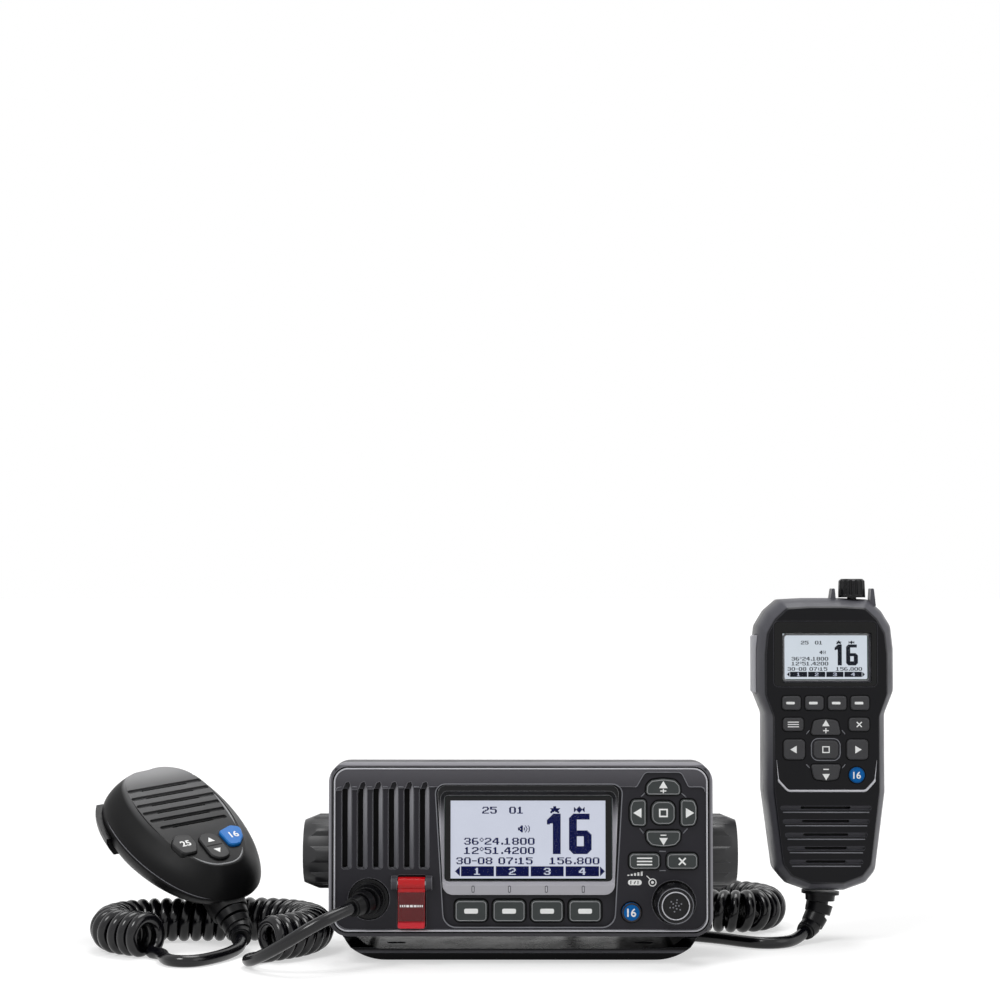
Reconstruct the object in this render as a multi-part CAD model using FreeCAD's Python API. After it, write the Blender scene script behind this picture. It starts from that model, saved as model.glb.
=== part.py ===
import FreeCAD, Part
import math
import os
from FreeCAD import Placement, Rotation, Vector

# A marine VHF transceiver: the radio in its gimbal bracket, a hand microphone on a curly
# cord that leaves the front panel, and an upright remote handset on a curly cord that
# leaves the rear. Millimetres; X to the right, Y to the back, Z up. The origin is the
# middle of the bracket's base, on the surface that everything stands on.

# ---------------------------------------------------------------- driving dimensions
FIT = 0.2              # side clearance of a key in its hole
RUN = 0.3              # clearance between two bodies that turn or slide on each other
STOP_GAP = 0.1         # gap between a flange and the wall that stops it

# front panel; u and v are measured from its middle, depths from its front plane
FACE_Y = -35.0         # its front plane
FACE_Z = 47.2          # the middle of its height
FACE_WIDTH = 156.5
FACE_HEIGHT = 70.6
FACE_SIDE = FACE_WIDTH / 2
FACE_TOP = FACE_HEIGHT / 2
FACE_CORNER = 8.0
FACE_BEVEL = 1.6
PANEL_DEPTH = 17.0
PANEL_WALL = 2.5       # side walls
PANEL_REACH = 6.25     # how far it reaches past the sides of the case
PANEL_LIP = 2.1        # how far it reaches below the case
PANEL_BROW = 7.8       # how far it reaches above the case
FIELD = 0.8            # how far the main field lies below the top strip
FIELD_TOP = FACE_TOP - 10.7     # height of the step between them
WALL_BACK = 4.5        # depth of the back of the front wall
BAY_FLOOR = 2.6        # depth of the floor of the display bay

# rear chassis
CASE_HALF = FACE_SIDE - PANEL_REACH
CASE_LOW = FACE_Z - FACE_TOP + PANEL_LIP
CASE_TOP = FACE_Z + FACE_TOP - PANEL_BROW
CASE_BACK = 65.0
CASE_WALL = 4.0
CASE_CORNER = 5.0
SEAL_THICK = 0.6
FIN_REACH = 9.0
FIN_THICK = 2.6
FIN_PITCH = 8.4
FIN_COUNT = 8
FIN_FIRST = -CASE_HALF + 6.0
SCREW_INSET = 3.6      # case screws, from the sides of the case
PANEL_POST_R = 2.4     # screw posts of the front panel
SCREW_R = 1.5
SCREW_HEAD_R = 2.9
SCREW_HEAD = 2.2
MAIN_BOARD_Z = CASE_LOW + 17.0
MAIN_BOARD = (2 * CASE_HALF - 32.0, 62.0)
MAIN_BOARD_Y = 24.0
BOARD_CANS = [(-30.0, 6.0, 40.0, 53.0, 9.0),   # power module: left, right, front, back, height
              (14.0, 44.0, 6.0, 36.0, 5.0),    # receiver shield
              (-44.0, -16.0, 2.0, 24.0, 7.0)]  # filter shield
ANTENNA_X = CASE_HALF - 20.0
ANTENNA_Z = CASE_TOP - 16.5
ANTENNA_R = 7.9
SUPPLY_Z = CASE_LOW + 16.0
JACK_X = ANTENNA_X - 16.0
JACK_Z = CASE_LOW + 10.0
REAR_GLAND_X = ANTENNA_X - 30.0
REAR_GLAND_Z = CASE_LOW + 16.0

# gimbal bracket
CASE_GAP = 4.0         # between an arm and the side of the case
BRACKET_ARM = 3.6      # thickness of an arm
BRACKET_HALF = CASE_HALF + CASE_GAP + BRACKET_ARM
BRACKET_BASE = 4.6     # thickness of the base plate
BRACKET_BEND = 24.0    # outer radius of the bend between base and arm
BASE_FRONT = -18.0     # front edge of the base plate
BASE_BACK = 19.0       # back edge of the base plate
ARM_HALF = 12.0        # half width of an arm, and the radius of its top
ARM_FOOT = 5.0         # height where the bracket starts to narrow to its arms
ARM_KNEE = 7.9         # height of the knee of that edge
ARM_KNEE_HALF = 18.2   # half width of an arm there
ARM_WAIST = 26.0       # height where it is as narrow as an arm
SLOT_X = BRACKET_HALF - 27.6    # mounting slots, left and right of the middle
SLOT_Y = -2.0
SLOT_WIDTH = 4.5
SLOT_LENGTH = 8.0

# tilt axis and clamp knobs
PIVOT_Y = 7.0
PIVOT_Z = FACE_Z - 5.2
BOSS_R = 12.0          # boss on the chassis side
STUD_R = 3.0           # stud of a clamp knob
STUD_END = CASE_HALF - 6.0      # inner end of the stud, from the middle
CLAMP_R = 15.8         # outer radius of a clamp knob
CLAMP_DEPTH = 11.4     # its thickness
CLAMP_LOBES = 8
CLAMP_LOBE_R = 4.2

# microphone cord gland
GLAND_U = -FACE_SIDE + 16.45
GLAND_V = -FACE_TOP + 15.2
GLAND_RECESS = 8.45

# speaker and its slots, from the left side of the panel
SLOT_FIRST = -FACE_SIDE + 7.35
SLOT_STEP = 6.32
SLOT_COUNT = 6
GRILLE_TOP = FACE_TOP - 7.7
GRILLE_BOTTOM = GLAND_V + 12.3
GRILLE_WIDE = 4.0
GRILLE_THROUGH = 2.2
GRILLE_ASIDE = 0.75    # how far the open part lies to the left in its slot
SPEAKER_U = SLOT_FIRST + SLOT_STEP * (SLOT_COUNT - 1) / 2
SPEAKER_V = (GRILLE_TOP + GRILLE_BOTTOM) / 2 - 0.6
SPEAKER_R = 15.5
MAGNET_R = 8.5
MAGNET_BACK = 13.0     # from the front of the rim

# keys
FLANGE = 0.6           # how far a key's flange reaches beyond its cap
FLANGE_THICK = 1.0
KEY_TRAVEL = 0.8
KEY_EDGE = 0.5         # bevel round a key's cap
CAP_FRONT = -0.9       # depth of the face of a key
SOFT_FRONT = 0.5       # depth of the face of a soft key
DISTRESS_FRONT = 1.4   # depth of the face of the distress key
BOARD_THICK = 1.6
PAD_REACH = 0.1459 * FACE_HEIGHT       # from the middle of the arrow keys to each of them
PAD_U = FACE_SIDE - 20.25
PAD_V = FACE_TOP - 1.971 * PAD_REACH
MENU_SIZE = (12.5, 6.4)
MENU_V = PAD_V - 1.903 * PAD_REACH
MENU_U = PAD_U - 7.7
CLEAR_U = PAD_U + 7.6

# display, between the grille and the arrow keys
BAY_LEFT = SLOT_FIRST + SLOT_STEP * (SLOT_COUNT - 1) + 4.3
BAY_RIGHT = PAD_U - 16.4
BAY_TOP = FACE_TOP - 8.7
BAY_LOW = -FACE_TOP + 3.7
SOFT_V = -FACE_TOP + 10.4
FRAME = (BAY_LEFT + 1.0, BAY_RIGHT - 1.6, SOFT_V + 6.6, BAY_TOP - 0.6)     # left, right, bottom, top
WINDOW = (FRAME[0] + 3.0, FRAME[1] - 2.8, FRAME[2] + 5.3, FRAME[3] - 4.4)
LCD_THICK = 1.8
WINDOW_THICK = 1.7
SOFT_PITCH = (WINDOW[1] - WINDOW[0]) * 0.2265
SOFT_FIRST = (WINDOW[0] + WINDOW[1]) / 2 - 0.13 - 1.5 * SOFT_PITCH     # middle of the first
SOFT_SIZE = (SOFT_PITCH - 2.35, 8.6)

# volume knob and channel key
KNOB_U = FACE_SIDE - 15.95
KNOB_V = -FACE_TOP + 13.9
KNOB_R = 8.1
KNOB_NOSE_R = 7.2      # radius at its front
KNOB_RECESS = 8.9
KNOB_FRONT = -9.8      # depth of its front face
KNOB_DISH_R = 5.4
KNOB_BACK = 2.3
KNOB_FLUTES = 9
SHAFT_R = 2.0
CHANNEL_U = KNOB_U - 17.3
CHANNEL_V = -FACE_TOP + 10.0
CHANNEL_R = 3.9

# distress cover
COVER_U = GLAND_U + 17.45
COVER_WIDTH = 10.9
COVER_LOW = -FACE_TOP + 4.0
COVER_HINGE_V = COVER_LOW + 17.8
COVER_HINGE_R = 2.7
COVER_AXIS = -0.9      # depth of the hinge axis
COVER_WALL = 1.2
COVER_EAR = 2.5        # thickness of the ears that carry the pin
PIN_R = 0.9
DISTRESS_SIZE = (7.6, 9.6)
DISTRESS_V = COVER_LOW + 7.7

# cords
CORD_R = 2.5
COIL_R = 9.4           # outer radius of a curly cord

# hand microphone: its own frame has x across, y up the face and z out of the face
MIC_AT = Vector(-149.2, 38.2, 60.5)
MIC_TURN = 41.2
MIC_LEAN = 31.3
MIC_ROLL = -6.9
MIC_WALL = 2.2
MIC_FACE = -2.0        # the flat of the face
MIC_SPLIT = -13.4      # where front and back meet
MIC_SEAM = 0.2
MIC_KEY_TOP = -0.6
MIC_KEY_STOP = MIC_FACE - MIC_WALL - 0.25      # where a key's flange starts
MIC_ROCK = 0.25        # room in front of a flange
MIC_ROCKER = (-0.2, -32.2, 9.4, 17.6)          # middle, width and length of the rocker
MIC_FULCRUM_Z = -5.0   # axis that the rocker tips about
MIC_FULCRUM_R = 1.2
MIC_SLOTS = (37.0, 38.5, 39.0, 38.8, 37.2, 33.0)     # widths of the grille's slots
MIC_SLOT_FIRST = 13.6
MIC_SLOT_STEP = 5.44
MIC_NECK = Vector(0, -39.5, -16.2)
MIC_NECK_WAY = Vector(0, -1, -0.28)
MIC_BOOT_ROOT = Vector(0, -54.9, -20.5)
MIC_CLIP_Y = 12.0      # the hanger stud on its back
MIC_TALK = (-19.0, 1.0, 24.5)          # right side, lowest and highest y of the talk key
MIC_TALK_TOP = MIC_SPLIT - 1.9
MIC_TALK_BACK = -24.9
MIC_TALK_REACH = 2.6   # how far it stands out of the shell

# handset: upright, its face to the front
SET_X = 132.4
SET_Y = 20.0           # front plane
SET_LOW = 22.6
SET_TOP = 149.2
SET_SPLIT = 36.0
SET_BACK = 53.0
SET_WALL = 2.4
SET_U = -0.5           # keys and display, from the middle
SET_KNOB_X = 12.7
SET_KNOB_R = 5.9
SET_GUARD = 7.4        # inner side of the guards, from the knob's axis
SET_KNOB_Y = 31.0
SET_KNOB_FLUTES = 14
SET_HALF = 30.2        # half width at the display
SET_KEY_FRONT = -0.7
SET_WALL_BACK = 3.0    # depth of the back of the front wall
SET_WINDOW = (-22.2, 22.4, 111.0, 139.2)
SET_KEYS_V = 84.0      # height of the enter key
SET_SLOT_FIRST = 58.9
SET_SLOT_STEP = 5.78
SET_SPEAKER_Z = 47.4
SET_TALK = (107.8, 133.4)       # lowest and highest of the talk key's pocket

NODES = {}
SCREW_PLACES = [(side * (CASE_HALF - SCREW_INSET), z) for side in (-1, 1)
                for z in (CASE_LOW + SCREW_INSET, CASE_TOP - SCREW_INSET)]


# ---------------------------------------------------------------- helpers
def keep(name, *solids):
    """Store a node: one solid, or several that stay separate."""
    NODES[name] = solids[0] if len(solids) == 1 else Part.makeCompound(list(solids))


def rect(cx, cz, width, height):
    """Corners of a rectangle, counter-clockwise."""
    a, b = width / 2, height / 2
    return [(cx - a, cz - b), (cx + a, cz - b), (cx + a, cz + b), (cx - a, cz + b)]


def span(left, right, low, high):
    """Corners of a rectangle given by its sides."""
    return [(left, low), (right, low), (right, high), (left, high)]


def outline(points, radius, at=(0.0, 0.0)):
    """Closed wire in the XZ plane whose corners are rounded by tangent arcs."""
    count = len(points)
    radii = radius if isinstance(radius, (list, tuple)) else [radius] * count
    corners = []
    for i, (x, z) in enumerate(points):
        here = Vector(x + at[0], 0, z + at[1])
        before = Vector(points[i - 1][0] + at[0], 0, points[i - 1][1] + at[1]) - here
        after_x, after_z = points[(i + 1) % count]
        after = Vector(after_x + at[0], 0, after_z + at[1]) - here
        half = before.getAngle(after) / 2
        back = radii[i] / math.tan(half)
        before.normalize()
        after.normalize()
        middle = before + after
        middle.normalize()
        reach = radii[i] / math.sin(half) - radii[i]
        corners.append((here + before * back, here + middle * reach, here + after * back))
    edges = []
    for i, (start, top, end) in enumerate(corners):
        edges.append(Part.Arc(start, top, end).toShape())
        following = corners[(i + 1) % count][0]
        if end.distanceToPoint(following) > 1e-6:
            edges.append(Part.LineSegment(end, following).toShape())
    return Part.Wire(edges)


def ring(cx, cz, radius):
    """Circle in the XZ plane."""
    return Part.Wire(Part.makeCircle(radius, Vector(cx, 0, cz), Vector(0, 1, 0)))


def grown(wire, distance):
    """The same outline, further out all round."""
    return Part.Face(wire).makeOffset2D(distance).OuterWire


def slab(wire, front, back):
    """Extrude an XZ outline along Y between two planes."""
    face = Part.Face(wire)
    face.translate(Vector(0, front, 0))
    return face.extrude(Vector(0, back - front, 0))


def panel(wire, front, back):
    """Extrude an outline given from the middle of the front panel, between two depths."""
    solid = slab(wire, FACE_Y + front, FACE_Y + back)
    solid.translate(Vector(0, 0, FACE_Z))
    return solid


def rod(start, end, radius):
    """Cylinder between two points."""
    way = end - start
    return Part.makeCylinder(radius, way.Length, start, way)


def across(x0, x1, y, z, radius):
    """Cylinder along X."""
    return rod(Vector(x0, y, z), Vector(x1, y, z), radius)


def through(x, z, y0, y1, radius):
    """Cylinder along Y."""
    return rod(Vector(x, y0, z), Vector(x, y1, z), radius)


def block(x0, x1, y0, y1, z0, z1):
    """Box between two corners."""
    return Part.makeBox(x1 - x0, y1 - y0, z1 - z0, Vector(x0, y0, z0))


def eased(solid, y, size):
    """Bevel the edges that lie in the plane y."""
    edges = [e for e in solid.Edges if all(abs(v.Y - y) < 1e-4 for v in e.Vertexes)]
    return solid.makeChamfer(size, edges)


def fused(first, *others):
    """Fuse solids that overlap, without seams."""
    return first.fuse(list(others)).removeSplitter()


def rounded_route(points):
    """Straight runs joined by tangent arcs, each as large as its two runs allow."""
    points = [Vector(*p) for p in points]
    edges = []
    radii = []
    start = points[0]
    for before, here, after in zip(points, points[1:], points[2:]):
        back = before - here
        on = after - here
        half = (math.pi - back.getAngle(on)) / 2
        reach = 0.45 * min(back.Length, on.Length)
        radius = reach / math.tan(half)
        radii.append(radius)
        back.normalize()
        on.normalize()
        middle = back + on
        middle.normalize()
        top = here + middle * (radius / math.cos(half) - radius)
        edges.append(Part.LineSegment(start, here + back * reach).toShape())
        edges.append(Part.Arc(here + back * reach, top, here + on * reach).toShape())
        start = here + on * reach
    edges.append(Part.LineSegment(start, points[-1]).toShape())
    return Part.Wire(edges), radii


def tube(name, points, radius):
    """Solid tube along a route; prints its radii and compares its volume."""
    route, radii = rounded_route(points)
    way = Vector(*points[1]) - Vector(*points[0])
    section = Part.Wire(Part.makeCircle(radius, Vector(*points[0]), way))
    solid = route.makePipeShell([section], True, False)
    expected = math.pi * radius ** 2 * route.Length
    shown = " ".join("%.1f" % r for r in radii)
    print("%s: length %.1f, radii %s, volume ratio %.4f"
          % (name, route.Length, shown, solid.Volume / expected))
    return solid


def key(wire, face):
    """A key on the front panel: a cap with a bevelled face and a flange behind the wall."""
    stop = WALL_BACK + STOP_GAP
    cap = eased(panel(wire, face, stop), FACE_Y + face, KEY_EDGE)
    return fused(cap, panel(grown(wire, FLANGE), stop, stop + FLANGE_THICK))


# ---------------------------------------------------------------- outlines on the panel
def up_arrow_outline():
    """Flat below, gently arched above."""
    points = [(-7.1, -3.1), (7.1, -3.1), (6.8, 0.8), (4.9, 2.9), (0, 3.6), (-4.9, 2.9), (-6.8, 0.8)]
    return outline(points, [1.4, 1.4, 2, 2.4, 12, 2.4, 2], (PAD_U, PAD_V + PAD_REACH))


def down_arrow_outline():
    """Flat above, gently arched below."""
    points = [(-6.8, -0.8), (-4.9, -2.9), (0, -3.6), (4.9, -2.9), (6.8, -0.8), (7.2, 3.1), (-7.2, 3.1)]
    return outline(points, [2, 2.4, 12, 2.4, 2, 1.4, 1.4], (PAD_U, PAD_V - PAD_REACH))


def side_arrow_outline(side):
    """Straight towards the middle, rounder outwards; side is -1 or 1."""
    points = [(-3.3, -5.5), (2.3, -5.2), (3.3, -2.4), (3.3, 2.4), (2.3, 5.2), (-3.3, 5.5)]
    radii = [1.5, 1.8, 2.4, 2.4, 1.8, 1.5]
    if side < 0:
        points = [(-x, z) for x, z in reversed(points)]
        radii = radii[::-1]
    return outline(points, radii, (PAD_U + side * PAD_REACH, PAD_V))


def soft_key_outline(index):
    """One of the row of soft keys."""
    return outline(rect(SOFT_FIRST + index * SOFT_PITCH, SOFT_V, *SOFT_SIZE), 1.9)


def panel_key_outlines():
    """Name, outline and depth of the face of each key on the front panel."""
    keys = [("soft_key_%d" % (i + 1), soft_key_outline(i), SOFT_FRONT) for i in range(4)]
    keys += [("up_key", up_arrow_outline(), CAP_FRONT),
             ("down_key", down_arrow_outline(), CAP_FRONT),
             ("left_key", side_arrow_outline(-1), CAP_FRONT),
             ("right_key", side_arrow_outline(1), CAP_FRONT),
             ("enter_key", outline(rect(PAD_U, PAD_V, 9.6, 9.4), 3.2), CAP_FRONT),
             ("menu_key", outline(rect(MENU_U, MENU_V, *MENU_SIZE), 2.0), CAP_FRONT),
             ("clear_key", outline(rect(CLEAR_U, MENU_V, *MENU_SIZE), 2.0), CAP_FRONT),
             ("channel_key", ring(CHANNEL_U, CHANNEL_V, CHANNEL_R), CAP_FRONT),
             ("distress_key", outline(rect(COVER_U, DISTRESS_V, *DISTRESS_SIZE), 1.2),
             DISTRESS_FRONT)]
    return keys


def field_outline():
    """The main field of the panel, which arches over the arrow keys."""
    low = -FACE_TOP + 3.0
    side = FACE_SIDE - 2.6
    arch = FACE_TOP - 3.9
    step = FIELD_TOP + 0.9
    points = [(-side, low), (side, low), (side, step), (PAD_U + 10.3, step), (PAD_U + 7.4, arch),
              (PAD_U - 7.4, arch), (PAD_U - 10.8, step), (BAY_LEFT, step), (-side, FIELD_TOP - 0.6)]
    return outline(points, [6, 6, 2.5, 1.2, 2.4, 2.4, 1.2, 5, 1])


def bay_outline():
    """The display bay, a little narrower at the bottom."""
    points = [(BAY_LEFT + 3.6, BAY_LOW), (BAY_RIGHT - 3.4, BAY_LOW),
              (BAY_RIGHT, BAY_TOP), (BAY_LEFT, BAY_TOP)]
    return outline(points, [5.5, 5.5, 4, 4])


def grille_slot(u):
    """A slot that is flat below and ends in a slanted tip above the step."""
    half = GRILLE_WIDE / 2
    points = [(u - half, GRILLE_BOTTOM), (u + half, GRILLE_BOTTOM), (u + half, FIELD_TOP - 0.4),
              (u + half / 2, GRILLE_TOP), (u - half / 4, GRILLE_TOP - 0.5), (u - half, FIELD_TOP - 1.4)]
    return outline(points, [0.8, 0.8, 1.5, 0.3, 0.3, 1.5])


# ---------------------------------------------------------------- radio
def make_bracket():
    """U-shaped bracket: base with two slots, bends and two rounded arms."""
    top = PIVOT_Z + ARM_HALF
    points = [(-BRACKET_HALF, 0), (BRACKET_HALF, 0), (BRACKET_HALF, top), (-BRACKET_HALF, top)]
    outer = slab(outline(points, [BRACKET_BEND, BRACKET_BEND, 0.1, 0.1]), BASE_FRONT, BASE_BACK)
    inside = BRACKET_HALF - BRACKET_ARM
    bend = BRACKET_BEND - BRACKET_BASE
    points = [(-inside, BRACKET_BASE), (inside, BRACKET_BASE), (inside, top + 9), (-inside, top + 9)]
    channel = slab(outline(points, [bend, bend, 1, 1]), BASE_FRONT - 1, BASE_BACK + 1)
    solid = outer.cut(channel)
    for side in (-1, 1):
        x0, x1 = sorted((side * (inside - bend), side * (BRACKET_HALF + 1)))
        stop = block(x0, x1, BASE_FRONT - 1, BASE_BACK + 1, ARM_FOOT - 0.4, top + 1)
        arm = across(x0, x1, PIVOT_Y, PIVOT_Z, ARM_HALF)
        corners = [(PIVOT_Y - BASE_FRONT + 1, ARM_FOOT - 0.4), (ARM_KNEE_HALF, ARM_KNEE),
                   (ARM_HALF, ARM_WAIST), (ARM_HALF, PIVOT_Z)]
        corners = [(-y, z) for y, z in corners] + [(y, z) for y, z in reversed(corners)]
        points = [Vector(x0, PIVOT_Y + y, z) for y, z in corners + corners[:1]]
        arm = arm.fuse(Part.Face(Part.makePolygon(points)).extrude(Vector(x1 - x0, 0, 0)))
        solid = solid.cut(stop.cut(arm))
        solid = solid.cut(across(x0, x1, PIVOT_Y, PIVOT_Z, STUD_R + 1.0))
        slot = block(side * SLOT_X - SLOT_LENGTH / 2, side * SLOT_X + SLOT_LENGTH / 2,
                     SLOT_Y - SLOT_WIDTH / 2, SLOT_Y + SLOT_WIDTH / 2, -1, BRACKET_BASE + 1)
        rounds = [e for e in slot.Edges if abs(e.Vertexes[0].Z - e.Vertexes[-1].Z) > 1]
        solid = solid.cut(slot.makeFillet(SLOT_WIDTH / 2 - 0.01, rounds))
    keep("bracket", solid.removeSplitter())


def make_clamp_knobs():
    """Lobed knobs whose studs pass through the arms into the chassis."""
    for name, side in (("left_clamp_knob", -1), ("right_clamp_knob", 1)):
        inner = side * (BRACKET_HALF + RUN)
        outer = inner + side * CLAMP_DEPTH
        core = across(inner, outer, PIVOT_Y, PIVOT_Z, CLAMP_R - 1.3)
        head = core
        for i in range(CLAMP_LOBES):
            turn = 2 * math.pi * i / CLAMP_LOBES
            y = PIVOT_Y + (CLAMP_R - CLAMP_LOBE_R) * math.cos(turn)
            z = PIVOT_Z + (CLAMP_R - CLAMP_LOBE_R) * math.sin(turn)
            head = head.fuse(across(inner, outer, y, z, CLAMP_LOBE_R))
        cone = Part.makeCone(CLAMP_R + 2, CLAMP_R - 3, CLAMP_DEPTH + 1,
                             Vector(inner, PIVOT_Y, PIVOT_Z), Vector(side, 0, 0))
        head = head.common(cone)
        stud = across(side * STUD_END, inner + side, PIVOT_Y, PIVOT_Z, STUD_R)
        keep(name, fused(head, stud))


def make_front_panel():
    """Moulded front: strip and field, display bay, grille, key holes and recesses."""
    body = panel(outline(rect(0, 0, FACE_WIDTH, FACE_HEIGHT), FACE_CORNER), 0, PANEL_DEPTH)
    body = eased(body, FACE_Y, FACE_BEVEL)
    inner = rect(0, 0, FACE_WIDTH - 2 * PANEL_WALL, FACE_HEIGHT - 2 * PANEL_WALL)
    hollow = outline(inner, FACE_CORNER - PANEL_WALL)
    cuts = [panel(field_outline(), -1, FIELD),
            panel(bay_outline(), -1, BAY_FLOOR),
            panel(outline(span(*WINDOW), 0.6), 0, WALL_BACK + 1),
            panel(ring(KNOB_U, KNOB_V, KNOB_RECESS), -1, KNOB_BACK + 1.2),
            panel(ring(KNOB_U, KNOB_V, SHAFT_R + 1.2), 0, WALL_BACK + 1),
            panel(ring(GLAND_U, GLAND_V, GLAND_RECESS), -1, 3.0),
            panel(ring(GLAND_U, GLAND_V, 4.6), 0, WALL_BACK + 1)]
    for i in range(SLOT_COUNT):
        u = SLOT_FIRST + i * SLOT_STEP
        left = u - GRILLE_ASIDE - GRILLE_THROUGH / 2
        hole = span(left, left + GRILLE_THROUGH, GRILLE_BOTTOM + 0.4, FIELD_TOP)
        cuts.append(panel(grille_slot(u), -1, 2.4))
        cuts.append(panel(outline(hole, 0.6), 0, WALL_BACK + 1))
    for name, wire, face in panel_key_outlines():
        cuts.append(panel(grown(wire, FIT), 0, WALL_BACK + 1))
    bay = span(COVER_U - COVER_WIDTH / 2 - 0.4, COVER_U + COVER_WIDTH / 2 + 0.4,
               COVER_LOW - 0.5, COVER_HINGE_V + COVER_HINGE_R + 0.5)
    cuts.append(panel(outline(bay, 1.0), -1, 3.0))
    body = body.cut(panel(hollow, WALL_BACK, PANEL_DEPTH + 1))
    body = body.cut(cuts)
    ears = []
    z = FACE_Z + COVER_HINGE_V
    for side in (-1, 1):
        u0 = COVER_U + side * (COVER_WIDTH / 2 + RUN)
        u1 = u0 + side * COVER_EAR
        ears.append(across(u0, u1, FACE_Y + COVER_AXIS, z, COVER_HINGE_R))
        ears.append(block(min(u0, u1), max(u0, u1), FACE_Y + COVER_AXIS, FACE_Y + 1.6,
                          z - COVER_HINGE_R, z + COVER_HINGE_R))
    posts = [through(x, post_z, FACE_Y + WALL_BACK - 0.5, FACE_Y + PANEL_DEPTH, PANEL_POST_R)
             for x, post_z in SCREW_PLACES]
    body = fused(body, *(ears + posts))
    pin_end = COVER_WIDTH / 2 + RUN + COVER_EAR - 0.5
    holes = [across(COVER_U - pin_end - 0.1, COVER_U + pin_end + 0.1,
                    FACE_Y + COVER_AXIS, z, PIN_R + 0.05)]
    for x, post_z in SCREW_PLACES:
        holes.append(through(x, post_z, FACE_Y + WALL_BACK + 2, FACE_Y + PANEL_DEPTH + 1, SCREW_R + 0.1))
    keep("front_panel", body.cut(holes))
    keep("cover_hinge_pin", across(COVER_U - pin_end, COVER_U + pin_end,
                                   FACE_Y + COVER_AXIS, z, PIN_R))


def make_keys():
    """Every key of the front panel."""
    for name, wire, face in panel_key_outlines():
        keep(name, key(wire, face))


def board_front():
    """Depth of the front of the control board, behind the keys' travel."""
    return WALL_BACK + STOP_GAP + FLANGE_THICK + KEY_TRAVEL + STOP_GAP


def make_distress_cover():
    """Clear flip-up cover: barrel, face, side walls and a lifting lip."""
    z = FACE_Z + COVER_HINGE_V
    half = COVER_WIDTH / 2
    barrel = across(COVER_U - half, COVER_U + half, FACE_Y + COVER_AXIS, z, COVER_HINGE_R - 0.1)
    face = span(COVER_U - half, COVER_U + half, COVER_LOW, COVER_HINGE_V)
    shell = panel(outline(face, 0.8), COVER_AXIS - 1.6, 0.9)
    room = span(COVER_U - half + COVER_WALL, COVER_U + half - COVER_WALL,
                COVER_LOW + COVER_WALL, COVER_HINGE_V - COVER_HINGE_R)
    shell = shell.cut(panel(outline(room, 0.4), COVER_AXIS - 1.6 + COVER_WALL, 2))
    lip = panel(outline(span(COVER_U - half, COVER_U + half, COVER_LOW, COVER_LOW + 2.4), 0.8),
                COVER_AXIS - 3.0, COVER_AXIS - 1.0)
    solid = fused(barrel, shell, lip)
    bore = across(COVER_U - half - 1, COVER_U + half + 1, FACE_Y + COVER_AXIS, z, PIN_R + 0.2)
    keep("distress_cover", solid.cut(bore))


def make_display():
    """Bevelled frame, clear window and the panel behind it."""
    left, right, low, high = FRAME
    body = panel(outline([(left + 2.4, low), (right - 1.9, low), (right, high), (left, high)],
                         [4.2, 4.2, 3.2, 3.2]), 0.5, BAY_FLOOR - STOP_GAP)
    wl, wr, wb, wt = WINDOW
    back = Part.Face(outline(span(wl, wr, wb, wt), 1.8))
    back.translate(Vector(0, FACE_Y + BAY_FLOOR + 0.2, FACE_Z))
    front = Part.Face(outline(span(wl - 1.8, wr + 1.8, wb - 1.6, wt + 2.4), 3.0))
    front.translate(Vector(0, FACE_Y + 0.2, FACE_Z))
    throat = Part.makeLoft([back.OuterWire, front.OuterWire], True, True)
    keep("display_frame", body.cut(throat))
    keep("display_window", panel(outline(span(wl + FIT, wr - FIT, wb + FIT, wt - FIT), 0.5),
                                 WALL_BACK - WINDOW_THICK, WALL_BACK))
    keep("lcd_panel", panel(outline(span(wl + 0.8, wr - 0.8, wb + 0.8, wt - 0.8), 0.5),
                            WALL_BACK + STOP_GAP, WALL_BACK + STOP_GAP + LCD_THICK))


def make_control_board():
    """Board behind the keys, with the housing of the volume encoder on its back."""
    front = board_front()
    half_h = FACE_TOP - PANEL_WALL - 0.5
    wide = FACE_SIDE - PANEL_WALL - 0.5
    board = panel(outline(span(COVER_U - 8, wide, -half_h, half_h), FACE_CORNER - PANEL_WALL),
                  front, front + BOARD_THICK)
    cuts = [panel(ring(SPEAKER_U, SPEAKER_V, SPEAKER_R + 1), 0, PANEL_DEPTH),
            panel(ring(KNOB_U, KNOB_V, SHAFT_R + 1.2), 0, PANEL_DEPTH)]
    for x, z in SCREW_PLACES:
        up = math.copysign(1, z - FACE_Z)
        low, high = sorted((z - FACE_Z - 6 * up, FACE_TOP * up))
        cuts.append(panel(outline(span(x - 9, x + 9, low, high), 1), 0, PANEL_DEPTH))
    board = board.cut(cuts)
    back = front + BOARD_THICK
    housing = panel(outline(rect(KNOB_U, KNOB_V, 10, 10), 1), back, back + 6)
    housing = housing.cut(panel(ring(KNOB_U, KNOB_V, SHAFT_R + FIT), back - 1, back + 5))
    keep("control_board", board, housing)
    shaft = panel(ring(KNOB_U, KNOB_V, SHAFT_R), KNOB_FRONT + 4, back + 4)
    collar = panel(ring(KNOB_U, KNOB_V, SHAFT_R + 0.9), WALL_BACK - 0.6, WALL_BACK + 0.8)
    keep("volume_encoder", fused(shaft, collar))


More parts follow.
